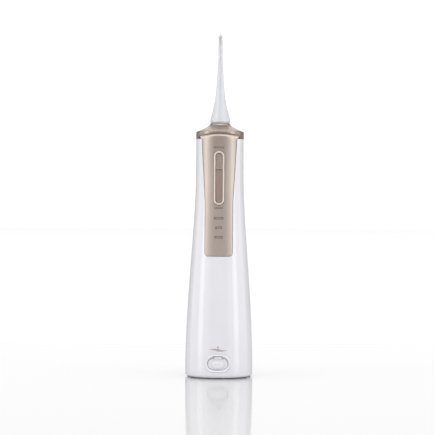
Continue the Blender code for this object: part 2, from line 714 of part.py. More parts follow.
def flap_pin():
    return hinge_rod("flap_pin", KNUCKLE_HALF_LENGTH + 2 * GAP + 2 * MM, PIN_RADIUS, STEEL)


# ---------------------------------------------------------------- handle core
def handle_core():
    rings = [
        oval(LOWER_HALF_WIDTH, LOWER_HALF_DEPTH, CORE_BOTTOM),
        oval(LOWER_HALF_WIDTH, LOWER_HALF_DEPTH, SHOULDER_Z),
        oval(UPPER_HALF_WIDTH, UPPER_HALF_DEPTH, SHOULDER_Z),
        oval(UPPER_HALF_WIDTH, UPPER_HALF_DEPTH, CORE_TOP),
    ]
    core = loft("handle_core", rings, INNER_WHITE)
    floor = SHOULDER_Z + CORE_WALL
    hollow = loft("core_hollow", [
        oval(LOWER_HALF_WIDTH - CORE_WALL, LOWER_HALF_DEPTH - CORE_WALL, CORE_BOTTOM - 5 * MM),
        oval(LOWER_HALF_WIDTH - CORE_WALL, LOWER_HALF_DEPTH - CORE_WALL, floor),
        oval(UPPER_HALF_WIDTH - CORE_WALL, UPPER_HALF_DEPTH - CORE_WALL, floor),
        oval(UPPER_HALF_WIDTH - CORE_WALL, UPPER_HALF_DEPTH - CORE_WALL, CORE_TOP + 5 * MM),
    ])
    cut(core, hollow)
    window = rounded_rectangle(
        (-CARRIER_HALF_WIDTH - GAP, CARRIER_BOTTOM - GAP),
        (CARRIER_HALF_WIDTH + GAP, CARRIER_TOP + GAP), 2 * MM)
    cut(core, plate("core_window", [window], -40 * MM, -10 * MM))
    inlet = INLET_HALF_WIDTH + GAP
    cut(core, box("inlet_window", (-inlet, 10 * MM, INLET_Z - INLET_HALF_HEIGHT - GAP),
                  (inlet, 40 * MM, INLET_Z + INLET_HALF_HEIGHT + GAP)))
    return core


def bottom_cap():
    low = CORE_BOTTOM - GAP - 1.7 * MM
    lid = CORE_BOTTOM - GAP
    plug_top = lid + 2.0 * MM
    inset = CORE_WALL + 0.4 * MM
    cap = loft("bottom_cap", [
        oval(LOWER_HALF_WIDTH, LOWER_HALF_DEPTH, low),
        oval(LOWER_HALF_WIDTH, LOWER_HALF_DEPTH, lid),
        oval(LOWER_HALF_WIDTH - inset, LOWER_HALF_DEPTH - inset, lid),
        oval(LOWER_HALF_WIDTH - inset, LOWER_HALF_DEPTH - inset, plug_top),
    ], INNER_WHITE)
    spigot = rod("suction_spigot", (0, SUCTION_Y, SPIGOT_BOTTOM), (0, SUCTION_Y, low + 1 * MM), 1.6 * MM)
    combine(cap, spigot, "UNION")
    bore_low, bore_high = (0, SUCTION_Y, CORE_BOTTOM - 12 * MM), (0, SUCTION_Y, CORE_BOTTOM + 13 * MM)
    return cut(cap, rod("suction_bore", bore_low, bore_high, 0.9 * MM))


# ---------------------------------------------------------------- front panel and keys
def front_panel():
    """A curved plate on the body's front, with a bevel rising behind its arched top edge."""
    columns, corner_rows, face_rows = 10, 3, 14
    builder = bmesh.new()
    bmesh.ops.create_grid(builder, x_segments=columns, y_segments=corner_rows + face_rows + 1, size=1.0)
    last_row = corner_rows + face_rows + 1
    for vert in builder.verts:
        across = vert.co.x
        row = round((vert.co.y + 1) / 2 * last_row)
        vert.co = panel_point(across, row, corner_rows, face_rows)
    panel = add_mesh("front_panel", builder, CHAMPAGNE)
    thickness = panel.modifiers.new("thickness", "SOLIDIFY")
    thickness.thickness = PANEL_THICKNESS
    thickness.offset = -1.0
    thickness.use_even_offset = True
    hole = stadium(RING_CENTRE_Z, RING_HALF_WIDTH + GAP, RING_HALF_HEIGHT + GAP)
    cut(panel, plate("ring_hole", [hole], -40 * MM, -10 * MM))
    return cut(panel, *[indicator_box(f"panel_window_{n}", n, GAP) for n in range(len(INDICATORS))])


def panel_point(across, row, corner_rows, face_rows):
    """Where a grid point of the panel goes; across runs from -1 to 1, rows from the bottom up."""
    if row <= corner_rows:
        angle = math.pi / 2 * row / corner_rows
        height = PANEL_BOTTOM + PANEL_CORNER * (1 - math.cos(angle))
        x = across * (PANEL_HALF_WIDTH - PANEL_CORNER * (1 - math.sin(angle)))
        return x, front_y(x, height, PANEL_PROUD), height
    if row <= corner_rows + face_rows:
        share = (row - corner_rows) / face_rows
        low = PANEL_BOTTOM + PANEL_CORNER
        side = low + (CREST_EDGE_Z - low) * share
        x = across * panel_half_width(side)
        top = crest(x, PANEL_TOP_HALF_WIDTH, CREST_EDGE_Z, CREST_RISE)
        height = low + (top - low) * share
        return x, front_y(x, height, PANEL_PROUD), height
    x = across * BEVEL_HALF_WIDTH
    height = crest(x, BEVEL_HALF_WIDTH, BEVEL_EDGE_Z, BEVEL_RISE)
    return x, front_y(x, height, PANEL_PROUD) + BEVEL_DEPTH, height


def indicator_box(name, number, grow, low_y=-40 * MM, high_y=-15 * MM, material=None):
    """A light guide's box, grown by a clearance."""
    height, width = INDICATORS[number]
    half = width / 2 + grow
    rise = INDICATOR_HEIGHT / 2 + grow
    return box(name, (-half, low_y, height - rise), (half, high_y, height + rise), material)


def panel_carrier():
    outline = rounded_rectangle(
        (-CARRIER_HALF_WIDTH, CARRIER_BOTTOM), (CARRIER_HALF_WIDTH, CARRIER_TOP), 1.5 * MM)
    carrier = plate("panel_carrier", [outline], -40 * MM, CARRIER_BACK_Y, INNER_WHITE)
    grow = PANEL_PROUD - PANEL_THICKNESS - GAP
    trim = body_blank("carrier_trim", grow, CARRIER_BOTTOM - 9 * MM, CARRIER_TOP + 9 * MM, 10)
    combine(carrier, trim, "INTERSECT")
    pocket = stadium(RING_CENTRE_Z, RING_HALF_WIDTH + GAP, RING_HALF_HEIGHT + GAP)
    cut(carrier, plate("key_pocket", [pocket], -40 * MM, POCKET_Y))
    for height in (POWER_STEM_Z, MODE_STEM_Z):
        cut(carrier, rod(f"stem_hole_{round(height / MM)}", (0, -30 * MM, height), (0, -10 * MM, height),
                         STEM_RADIUS + GAP, None, 16))
    return cut(carrier, *[indicator_box(f"carrier_window_{n}", n, GAP) for n in range(len(INDICATORS))])


def key_ring():
    outer = stadium(RING_CENTRE_Z, RING_HALF_WIDTH, RING_HALF_HEIGHT, 12)
    inner = stadium(RING_CENTRE_Z, RING_HALF_WIDTH - RING_WIDTH, RING_HALF_HEIGHT - RING_WIDTH, 12)
    ring = plate("key_ring", [outer, inner], -40 * MM, RING_BACK_Y, CHAMPAGNE_BRIGHT)
    grow = PANEL_PROUD + RING_PROUD
    trim = body_blank("ring_trim", grow, RING_BOTTOM - 9 * MM, RING_TOP + 9 * MM, 7)
    return combine(ring, trim, "INTERSECT")


def key(name, flat_z, round_z, stem_z, material):
    """A key that shows inside the ring, its retaining flange behind the ring, and its stem."""
    face = half_pill(flat_z, round_z, KEY_HALF_WIDTH)
    body = plate(name, [face], -40 * MM, FLANGE_FRONT_Y + 0.3 * MM, material)
    low, high = sorted((flat_z, round_z))
    combine(body, body_blank(name + "_trim", 0.1 * MM, low - 9 * MM, high + 9 * MM, 5), "INTERSECT")
    outward = math.copysign(KEY_FLANGE - GAP, round_z - flat_z)
    flange = half_pill(flat_z, round_z + outward, KEY_HALF_WIDTH + KEY_FLANGE)
    combine(body, plate(name + "_flange", [flange], FLANGE_FRONT_Y, FLANGE_BACK_Y), "UNION")
    stem = rod(name + "_stem", (0, FLANGE_FRONT_Y + 0.2 * MM, stem_z), (0, CARRIER_BACK_Y, stem_z),
               STEM_RADIUS, None, 16)
    return combine(body, stem, "UNION")


def keys():
    half_gap = KEY_SPLIT_GAP / 2
    end = RING_WIDTH + GAP
    key("power_key", KEY_SPLIT_Z + half_gap, RING_TOP - end, POWER_STEM_Z, CHAMPAGNE)
    key("mode_key", KEY_SPLIT_Z - half_gap, RING_BOTTOM + end, MODE_STEM_Z, KEY_BROWN)


def indicators():
    """Light guides from the board's lamps to the panel's face, and the lamps themselves."""
    for number, (height, _) in enumerate(INDICATORS):
        back = BOARD_Y - 1.2 * MM
        guide = indicator_box(f"indicator_window_{number + 1}", number, 0.0, -40 * MM, back, LAMP)
        low, high = height - 9 * MM, height + 9 * MM
        trim = body_blank(f"window_trim_{number + 1}", PANEL_PROUD + 0.1 * MM, low, high, 2)
        combine(guide, trim, "INTERSECT")
        box(f"indicator_led_{number + 1}", (-1 * MM, BOARD_Y - 0.9 * MM, height - 0.5 * MM),
            (1 * MM, BOARD_Y - GAP, height + 0.5 * MM), LAMP)


def control_board():
    low, high = CARRIER_BOTTOM + 3 * BOARD_INSET, CARRIER_TOP - BOARD_INSET
    outline = rounded_rectangle((-BOARD_HALF_WIDTH, low), (BOARD_HALF_WIDTH, high), 1.5 * MM)
    return plate("control_board", [outline], BOARD_Y, BOARD_Y + BOARD_THICKNESS, BOARD_GREEN)


def switches():
    """Tact switches on the board; each plunger stops short of the pressed key's stem."""
    for name, height in (("power_switch", POWER_STEM_Z), ("mode_switch", MODE_STEM_Z)):
        half = SWITCH_SIZE / 2
        back = BOARD_Y - GAP
        face = back - 0.8 * MM
        switch = box(name, (-half, face, height - half), (half, back, height + half), SWITCH_BLACK)
        top = CARRIER_BACK_Y + KEY_TRAVEL + GAP
        plunger = rod(name + "_plunger", (0, top, height), (0, back - 0.3 * MM, height), 0.8 * MM, None, 12)
        combine(switch, plunger, "UNION")


# ---------------------------------------------------------------- cap, socket, nozzle
def cap_ring(width, height):
    """A section of the cap: the body's oval at the rim, a circle at the neck."""
    share = (width - CAP_NECK_RADIUS) / (TOP_HALF_WIDTH - CAP_NECK_RADIUS)
    depth = width + share * (TOP_HALF_DEPTH - TOP_HALF_WIDTH)
    return oval(width, depth, height, 2 + share * (SECTION_POWER - 2))


def top_cap():
    rings = [cap_ring(TOP_HALF_WIDTH - 0.05 * MM, height) for height in (CAP_BOTTOM, RIM_TOP)]
    rings.append(cap_ring(TOP_HALF_WIDTH - 0.4 * MM, RIM_TOP + 0.9 * MM))
    for share in (0.25, 0.5, 0.7, 0.85, 0.95, 1.0):
        angle = math.pi / 2 * share
        width = CAP_NECK_RADIUS + (TOP_HALF_WIDTH - 0.4 * MM - CAP_NECK_RADIUS) * (1 - math.sin(angle))
        rise = (CAP_TOP - RIM_TOP - 0.9 * MM) * (1 - math.cos(angle)) ** CAP_CURVE
        rings.append(cap_ring(width, RIM_TOP + 0.9 * MM + rise))
    cap = loft("top_cap", rings, CHAMPAGNE)
    roof = RIM_TOP - CAP_ROOF + 0.7 * MM
    cut(cap, loft("cap_hollow", [oval(TOP_HALF_WIDTH - CAP_WALL, TOP_HALF_DEPTH - CAP_WALL, height)
                                 for height in (CAP_BOTTOM - 3 * MM, roof)]))
    cut(cap, rod("socket_hole", (0, 0, CAP_BOTTOM), (0, 0, CAP_TOP + 5 * MM), SOCKET_RADIUS + GAP, None, 32))
    steps = 12
    arch = []
    half = BEVEL_HALF_WIDTH + GAP
    for step in range(steps + 1):
        across = half - 2 * half * step / steps
        arch.append((across, crest(across, half, BEVEL_EDGE_Z, BEVEL_RISE) + GAP))
    arch = [(-half, CAP_BOTTOM - 5 * MM), (half, CAP_BOTTOM - 5 * MM)] + arch
    cut(cap, plate("cap_arch", [arch], -40 * MM, -11 * MM))
    side = BUTTON_HALF_WIDTH + GAP
    low, high = CAP_BOTTOM - 3 * MM, BUTTON_TOP + GAP
    return cut(cap, box("button_window", (-side, 15 * MM, low), (side, 40 * MM, high)))


def nozzle_socket():
    bottom = LATCH_TOP + 1.0 * MM
    lower_flange = CAP_BOTTOM + 2.2 * MM
    top = CAP_TOP + GAP
    return turned("nozzle_socket", [
        (SOCKET_BORE, top + 0.8 * MM), (NOZZLE_BASE_RADIUS - 0.6 * MM, top + 0.8 * MM),
        (NOZZLE_BASE_RADIUS - 0.6 * MM, top), (SOCKET_RADIUS, top),
        (SOCKET_RADIUS, lower_flange + 1.6 * MM), (SOCKET_RADIUS + 1.5 * MM, lower_flange + 1.6 * MM),
        (SOCKET_RADIUS + 1.5 * MM, lower_flange), (SOCKET_RADIUS, lower_flange),
        (SOCKET_RADIUS, bottom), (SOCKET_BORE, bottom),
    ], INNER_WHITE)


def nozzle_axis(length):
    """Point and direction on the nozzle's centre line at a length from the cone's base."""
    straight = NOZZLE_LENGTH - TIP_BEND_RADIUS * math.sin(TIP_BEND) - TIP_RUN * math.cos(TIP_BEND)
    if length <= straight:
        return Vector((0, 0, NOZZLE_BOTTOM + length)), 0.0
    turn = min((length - straight) / TIP_BEND_RADIUS, TIP_BEND)
    run = max(length - straight - TIP_BEND_RADIUS * TIP_BEND, 0.0)
    return Vector((
        0,
        -TIP_BEND_RADIUS * (1 - math.cos(turn)) - run * math.sin(turn),
        NOZZLE_BOTTOM + straight + TIP_BEND_RADIUS * math.sin(turn) + run * math.cos(turn),
    )), turn


def nozzle_ring(length, radius, sides=16):
    """A circle across the nozzle's centre line."""
    centre, turn = nozzle_axis(length)
    ring = []
    for step in range(sides):
        angle = 2 * math.pi * step / sides
        offset = Vector((radius * math.cos(angle), radius * math.sin(angle), 0))
        ring.append(centre + Matrix.Rotation(turn, 3, "X") @ offset)
    return ring


def nozzle():
    """Stem with its seal and latch grooves, flared cone, slim neck and bent tip, with a water channel."""
    stem = STEM_DIAMETER / 2
    seal_groove, latch_groove = stem - 0.95 * MM, stem - 0.75 * MM
    seal_low = SEAL_Z - NOZZLE_BOTTOM - 0.85 * MM
    latch_low = LATCH_BOTTOM - NOZZLE_BOTTOM - GAP
    latch_high = LATCH_TOP - NOZZLE_BOTTOM + GAP
    bend_excess = TIP_BEND_RADIUS * (TIP_BEND - math.sin(TIP_BEND))
    end = NOZZLE_LENGTH + bend_excess + TIP_RUN * (1 - math.cos(TIP_BEND))
    outside = [
        (-STEM_LENGTH, stem - 0.4 * MM), (-STEM_LENGTH + 0.5 * MM, stem),
        (seal_low, stem), (seal_low, seal_groove),
        (seal_low + 1.7 * MM, seal_groove), (seal_low + 1.7 * MM, stem),
        (latch_low, stem), (latch_low, latch_groove), (latch_high, latch_groove), (latch_high, stem),
        (0.0, stem), (0.0, NOZZLE_BASE_RADIUS),
    ]
    outside += [(length * MM, radius * MM) for length, radius in NOZZLE_CONE]
    straight = NOZZLE_LENGTH - TIP_BEND_RADIUS * math.sin(TIP_BEND) - TIP_RUN * math.cos(TIP_BEND)
    bend_rows = 5
    for row in range(bend_rows + 1):
        length = straight + TIP_BEND_RADIUS * TIP_BEND * row / bend_rows
        outside.append((length, 1.85 * MM - 0.03 * MM * row))
    outside.append((end, TIP_RADIUS))
    inside = [(end, 0.5 * MM)]
    for row in range(bend_rows, -1, -1):
        inside.append((straight + TIP_BEND_RADIUS * TIP_BEND * row / bend_rows, 0.7 * MM))
    inside += [(20 * MM, 1.2 * MM), (-STEM_LENGTH, 1.5 * MM)]
    rings = [nozzle_ring(length, radius) for length, radius in outside + inside]
    return loft("nozzle", rings, CLEAR, closed=True)


def nozzle_seal():
    return torus("nozzle_seal", (0, 0, SEAL_Z), STEM_DIAMETER / 2 - 0.2 * MM, 0.42 * MM, SEAL_BLACK)


def outlet_block():
    """The fixed seat under the nozzle's stem, with a deck that spans the core."""
    channel = 1.2 * MM
    low = BLOCK_TOP - OUTLET_DEPTH
    seat = STEM_BOTTOM - 0.6 * MM
    block = turned("outlet_block", [
        (OUTLET_BORE, BLOCK_TOP), (OUTLET_RADIUS, BLOCK_TOP), (OUTLET_RADIUS, low), (channel, low),
        (channel, seat), (OUTLET_BORE, seat),
    ], INNER_WHITE)
    inset = CORE_WALL + 0.4 * MM
    deck = oval_plate("outlet_deck", UPPER_HALF_WIDTH - inset, UPPER_HALF_DEPTH - inset,
                      BLOCK_TOP - 3.2 * MM, BLOCK_TOP - 1.2 * MM)
    front = CARRIER_BACK_Y + 4.1 * MM
    cut(deck, box("deck_front", (-30 * MM, -40 * MM, low), (30 * MM, front, BLOCK_TOP + 5 * MM)))
    deck_bore = (OUTLET_BORE + OUTLET_RADIUS) / 2
    cut(deck, rod("deck_bore", (0, 0, low), (0, 0, BLOCK_TOP + 5 * MM), deck_bore, None, 32))
    return combine(block, deck, "UNION")


def latch():
    """The sliding plate round the stem and the button that pushes it."""
    clear = STEM_DIAMETER / 2 + GAP
    hole = circle((0, LATCH_HOLE_RADIUS - clear), LATCH_HOLE_RADIUS, 32)
    outline = rounded_rectangle((-LATCH_HALF_WIDTH, -7.4 * MM), (LATCH_HALF_WIDTH, LATCH_BACK_Y), 1.5 * MM)
    plate_part = plate("latch_plate", [outline, hole], LATCH_BOTTOM, LATCH_TOP, STEEL, "Z")
    combine(plate_part, box("latch_upstand", (-4 * MM, LATCH_BACK_Y - 1.8 * MM, LATCH_BOTTOM + 0.5 * MM),
                            (4 * MM, LATCH_BACK_Y - 0.1 * MM, BUTTON_TOP)), "UNION")
    box("release_button", (-BUTTON_HALF_WIDTH, LATCH_BACK_Y + GAP, BUTTON_BOTTOM),
        (BUTTON_HALF_WIDTH, TOP_HALF_DEPTH + BUTTON_PROUD, BUTTON_TOP), CHAMPAGNE, 0.6 * MM)


def release_spring():
    """A coil in front of the latch plate, as a tube along a helix about the Y axis."""
    turns, per_turn, radius, wire = 4, 8, 0.8 * MM, 0.14 * MM
    low, high = -13.0 * MM, -7.7 * MM - wire
    centre_z = (LATCH_BOTTOM + LATCH_TOP) / 2
    curve = bpy.data.curves.new("release_spring", "CURVE")
    curve.dimensions = "3D"
    curve.bevel_depth = wire
    curve.bevel_resolution = 1
    curve.use_fill_caps = True
    spline = curve.splines.new("POLY")
    count = turns * per_turn
    spline.points.add(count)
    for step, point in enumerate(spline.points):
        angle = 2 * math.pi * step / per_turn
        along = low + (high - low) * step / count
        point.co = (radius * math.cos(angle), along, centre_z + radius * math.sin(angle), 1.0)
    part = bpy.data.objects.new("release_spring", curve)
    PARTS.objects.link(part)
    curve.materials.append(STEEL)
    return part


# ---------------------------------------------------------------- charging inlet
def rear_tongue():
    outline = rounded_rectangle(
        (-TONGUE_HALF_WIDTH, TONGUE_BOTTOM), (TONGUE_HALF_WIDTH, SHELL_TOP - 0.2 * MM), 1.7 * MM)
    tongue = plate("rear_tongue", [outline], UPPER_HALF_DEPTH + GAP, 40 * MM, WHITE)
    trim = body_blank("tongue_trim", 0.0, TONGUE_BOTTOM - 9 * MM, SHELL_TOP + 9 * MM, 3)
    combine(tongue, trim, "INTERSECT")
    recess = rounded_rectangle(
        (-COVER_HALF_WIDTH - GAP, INLET_Z - COVER_HALF_HEIGHT - GAP),
        (COVER_HALF_WIDTH + GAP, INLET_Z + COVER_HALF_HEIGHT + GAP), 1.6 * MM)
    cut(tongue, plate("cover_recess", [recess], COVER_BACK_Y - GAP, 50 * MM))
    mouth = INLET_HALF_WIDTH + GAP
    return cut(tongue, box("inlet_mouth", (-mouth, 10 * MM, INLET_Z - INLET_HALF_HEIGHT - GAP),
                           (mouth, 50 * MM, INLET_Z + INLET_HALF_HEIGHT + GAP)))


def charge_socket():
    back = COVER_BACK_Y - 2 * GAP
    socket = box("charge_socket", (-INLET_HALF_WIDTH, back - 7.5 * MM, INLET_Z - INLET_HALF_HEIGHT),
                 (INLET_HALF_WIDTH, back, INLET_Z + INLET_HALF_HEIGHT), STEEL)
    wall = 0.4 * MM
    half, rise = INLET_HALF_WIDTH - wall, INLET_HALF_HEIGHT - wall
    return cut(socket, box("inlet_hollow", (-half, back - 6 * MM, INLET_Z - rise),
                           (half, back + 5 * MM, INLET_Z + rise)))


def charge_cover():
    outline = rounded_rectangle(
        (-COVER_HALF_WIDTH, INLET_Z - COVER_HALF_HEIGHT),
        (COVER_HALF_WIDTH, INLET_Z + COVER_HALF_HEIGHT), 1.3 * MM)
    cover = plate("charge_cover", [outline], COVER_BACK_Y, COVER_BACK_Y + COVER_THICKNESS, SILICONE)
    plug = box("cover_plug", (-3.3 * MM, COVER_BACK_Y - 1.2 * MM, INLET_Z - 1 * MM),
               (3.3 * MM, COVER_BACK_Y + 0.3 * MM, INLET_Z + 1 * MM))
    return combine(cover, plug, "UNION")


# ---------------------------------------------------------------- battery, motor and gears
def battery():
    low = PLUG_TOP + 1.0 * MM
    cell = rod("battery", (0, BATTERY_Y, low), (0, BATTERY_Y, low + BATTERY_LENGTH),
               BATTERY_RADIUS, CELL_BLUE, 32)
    inner = BATTERY_RADIUS + GAP
    outer = inner + 1.6 * MM
    foot, rim = low + 20 * MM, low + 50 * MM
    turned("battery_cradle", [(inner, rim), (outer, rim), (outer, foot), (inner, foot)],
           ACETAL, (0, BATTERY_Y), 32)
    return cell


def motor():
    """A flat-sided can motor lying front to back, and its shaft with the pinion."""
    clip = math.degrees(math.asin(MOTOR_FLAT / MOTOR_RADIUS))
    outline = arc_points((0, MOTOR_Z), MOTOR_RADIUS, -clip, clip, 8)
    outline += arc_points((0, MOTOR_Z), MOTOR_RADIUS, 180 - clip, 180 + clip, 8)
    plate("motor", [outline], MOTOR_Y, MOTOR_Y + MOTOR_LENGTH, STEEL)
    rod("motor_shaft", (0, GEAR_Y - GAP, MOTOR_Z), (0, MOTOR_Y - GAP, MOTOR_Z), SHAFT_RADIUS, STEEL, 16)
    bore = circle((0, MOTOR_Z), SHAFT_RADIUS + GAP, 16)
    plate("motor_pinion", [shifted(involute_gear(PINION_TEETH, True), MOTOR_Z), bore],
          GEAR_Y, GEAR_Y + GEAR_THICKNESS, STEEL)


def drive_gear():
    """The reduction gear with its bore and the hole for its crank pin; its lowest point is a tooth space."""
    outline = shifted(involute_gear(GEAR_TEETH, False), GEAR_Z)
    bores = [circle((0, height), SHAFT_RADIUS + GAP, 16) for height in (GEAR_Z, CRANK_Z)]
    plate("drive_gear", [outline, *bores], GEAR_Y, GEAR_Y + GEAR_THICKNESS, ACETAL)
    axle_back = GEAR_Y + GEAR_THICKNESS - GAP
    rod("gear_axle", (0, FRAME_FRONT_Y + GAP, GEAR_Z), (0, axle_back, GEAR_Z), SHAFT_RADIUS, STEEL, 16)
    rod("crank_pin", (0, GEAR_Y + GAP, CRANK_Z), (0, ROD_Y - GAP, CRANK_Z), SHAFT_RADIUS, STEEL, 16)


def connecting_rod():
    middle = (CRANK_Z + WRIST_Z) / 2
    outline = stadium(middle, ROD_HALF_WIDTH, ROD_LENGTH / 2 + ROD_HALF_WIDTH)
    bores = [circle((0, height), SHAFT_RADIUS + GAP, 16) for height in (CRANK_Z, WRIST_Z)]
    return plate("connecting_rod", [outline, *bores], ROD_Y, ROD_Y + ROD_THICKNESS, ACETAL)


def pump_frame():
    """A channel that holds the gear's axle in front, the motor behind and the cylinder on top."""
    half = FRAME_HALF_WIDTH
    inner = half - 1.3 * MM
    above = CYLINDER_TOP + 5 * MM
    low = MOTOR_Z - 7.7 * MM
    back = MOTOR_Y - GAP
    frame = box("pump_frame", (-half, FRAME_FRONT_Y, low), (half, back, FLANGE_Z - GAP), ACETAL)
    cut(frame, box("frame_channel", (-inner, FRAME_FRONT_Y + FRAME_WALL, low + 1.6 * MM),
                   (inner, MOTOR_PLATE_Y, above)))
    cut(frame, box("rod_clearance", (-inner, MOTOR_PLATE_Y - 1 * MM, CRANK_Z - ROD_HALF_WIDTH - 0.8 * MM),
                   (inner, back + 5 * MM, above)))
    cut(frame, box("cylinder_clearance", (-inner, FRAME_FRONT_Y - 5 * MM, CYLINDER_BOTTOM - 4 * MM),
                   (inner, MOTOR_PLATE_Y, above)))
    for name, height in (("axle_bore", GEAR_Z), ("shaft_bore", MOTOR_Z)):
        low_y, high_y = (-30 * MM, GEAR_Y) if name == "axle_bore" else (MOTOR_PLATE_Y - 2 * MM, 5 * MM)
        cut(frame, rod(name, (0, low_y, height), (0, high_y, height), SHAFT_RADIUS + GAP, None, 16))
    return frame


def pump_cylinder():
    bore = PISTON_RADIUS + PISTON_CLEARANCE
    cylinder = turned("pump_cylinder", [
        (bore, CYLINDER_TOP), (CYLINDER_RADIUS, CYLINDER_TOP),
        (CYLINDER_RADIUS, CYLINDER_BOTTOM), (bore, CYLINDER_BOTTOM),
    ], ACETAL, (0, PISTON_Y), 32)
    half = FRAME_HALF_WIDTH - 0.2 * MM
    flange = box("cylinder_flange", (-half, FRAME_FRONT_Y + 0.6 * MM, FLANGE_Z),
                 (half, MOTOR_Y - GAP, FLANGE_Z + 2 * MM))
    cut(flange, rod("flange_bore", (0, PISTON_Y, FLANGE_Z - 5 * MM), (0, PISTON_Y, FLANGE_Z + 5 * MM),
                    CYLINDER_RADIUS - 0.6 * MM, None, 32))
    return combine(cylinder, flange, "UNION")


def piston():
    """A slotted piston: the rod's small end swings in its slot on the wrist pin."""
    groove_low, groove_high = PISTON_TOP - 2.4 * MM, PISTON_TOP - 1.0 * MM
    groove = PISTON_RADIUS - 1.1 * MM
    body = rod("piston", (0, PISTON_Y, PISTON_BOTTOM), (0, PISTON_Y, PISTON_TOP), PISTON_RADIUS, ACETAL, 32)
    slot_top = WRIST_Z + ROD_HALF_WIDTH + 2 * GAP
    cut(body, box("rod_slot", (-8 * MM, ROD_Y - GAP, PISTON_BOTTOM - 3 * MM),
                  (8 * MM, ROD_Y + ROD_THICKNESS + GAP, slot_top)))
    cut(body, rod("wrist_bore", (0, -30 * MM, WRIST_Z), (0, 10 * MM, WRIST_Z), SHAFT_RADIUS + GAP, None, 16))
    outside = PISTON_RADIUS + 2 * MM
    groove_profile = [
        (outside, groove_low), (groove, groove_low), (groove, groove_high), (outside, groove_high),
    ]
    cut(body, turned("seal_groove", groove_profile, None, (0, PISTON_Y), 32))
    reach = PISTON_RADIUS - 0.4 * MM
    rod("wrist_pin", (0, PISTON_Y - reach, WRIST_Z), (0, PISTON_Y + reach, WRIST_Z), SHAFT_RADIUS, STEEL, 16)
    seal_radius = PISTON_RADIUS - 0.35 * MM
    seal_centre = (0, PISTON_Y, (groove_low + groove_high) / 2)
    return torus("piston_seal", seal_centre, seal_radius, 0.4 * MM, SEAL_BLACK)


def valve_head():
    """The block on the cylinder that holds the valves: inlet on its left side, outlet on top."""
    head = box("valve_head", (-6.5 * MM, PISTON_Y - 5.8 * MM, HEAD_BOTTOM),
               (6.5 * MM, PISTON_Y + 5.8 * MM, HEAD_TOP), ACETAL, 0.8 * MM)
    cut(head, rod("outlet_port", (0, PISTON_Y, HEAD_BOTTOM - 2 * MM), (0, PISTON_Y, HEAD_TOP + 2 * MM),
                  1.2 * MM, None, 16))
    port_z = (HEAD_BOTTOM + HEAD_TOP) / 2
    return cut(head, rod("inlet_port", (-9 * MM, PISTON_Y, port_z), (-0.5 * MM, PISTON_Y, port_z),
                         1.0 * MM, None, 16))


def hoses():
    """The suction hose to the bottom cap, the pressure hose up to the nozzle, the weighted intake."""
    port_z = (HEAD_BOTTOM + HEAD_TOP) / 2
    side = -(UPPER_HALF_WIDTH - CORE_WALL - TUBE_RADIUS - 1.7 * MM)
    tube("suction_tube", [
        (-7.0 * MM, PISTON_Y, port_z), (-8.8 * MM, PISTON_Y, port_z),
        (side + 0.6 * MM, PISTON_Y + 2 * MM, port_z - 3 * MM),
        (side, -2 * MM, port_z - 10 * MM), (side, 2 * MM, GEAR_Z + 12.5 * MM),
        (side, 3 * MM, MOTOR_Z + 1 * MM),
        (-8.6 * MM, 8.6 * MM, SHOULDER_Z), (-2 * MM, SUCTION_Y, SHOULDER_Z - 15.9 * MM),
        (0, SUCTION_Y, SHOULDER_Z - 29.9 * MM),
        (0, SUCTION_Y, PLUG_TOP + 16 * MM), (0, SUCTION_Y, PLUG_TOP + GAP),
    ], TUBE_RADIUS, SILICONE)
    tube("pressure_tube", [
        (0, PISTON_Y, HEAD_TOP + GAP), (0, PISTON_Y, HEAD_TOP + 5 * MM),
        (0, PISTON_Y / 2, (HEAD_TOP + BLOCK_TOP - OUTLET_DEPTH) / 2),
        (0, 0, BLOCK_TOP - OUTLET_DEPTH - 5 * MM), (0, 0, BLOCK_TOP - OUTLET_DEPTH - GAP),
    ], TUBE_RADIUS, SILICONE)
    tube("intake_hose", [
        (0, SUCTION_Y, SPIGOT_BOTTOM - GAP), (0, SUCTION_Y - 0.5 * MM, SPIGOT_BOTTOM - 3 * MM),
        (0, SUCTION_Y - 4.5 * MM, STRAINER_TOP + 3 * MM), (0, SUCTION_Y - 5 * MM, STRAINER_TOP + GAP),
    ], TUBE_RADIUS, SILICONE)
    centre = (0, SUCTION_Y - 5 * MM)
    turned("intake_strainer", [
        (1.0 * MM, STRAINER_TOP), (3.4 * MM, STRAINER_TOP), (4.2 * MM, STRAINER_TOP - 0.8 * MM),
        (4.2 * MM, STRAINER_TOP - 8.7 * MM), (3.4 * MM, STRAINER_TOP - 9.5 * MM),
        (1.0 * MM, STRAINER_TOP - 9.5 * MM),
    ], STEEL, centre, 24)


# ---------------------------------------------------------------- assembly
def build():
    """Make every piece of the flosser."""
    tank_shell()
    tank_collar()
    collar_gasket()
    base_plate()
    foot_ring()
    fill_port_frame()
    fill_flap()
    fill_plug()
    flap_pin()
    handle_core()
    bottom_cap()
    front_panel()
    panel_carrier()
    key_ring()
    keys()
    indicators()
    control_board()
    switches()
    top_cap()
    nozzle_socket()
    nozzle()
    nozzle_seal()
    outlet_block()
    latch()
    release_spring()
    rear_tongue()
    charge_socket()
    charge_cover()
    battery()
    motor()
    drive_gear()
    connecting_rod()
    pump_frame()
    pump_cylinder()
    piston()
    valve_head()
    hoses()


build()
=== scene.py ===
"""Looks of a cordless water flosser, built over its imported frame.

The tool stands on its base with its control panel facing -Y and +Z up. Every size is in metres, and MM
turns millimetres into metres. Each sub-assembly is a class that builds its own pieces and gives them
their finishes.
"""
import logging
import math
from dataclasses import dataclass, field
from enum import Enum
from typing import Callable, Iterable, Sequence, Union

import bmesh
import bpy
from mathutils import Matrix, Vector


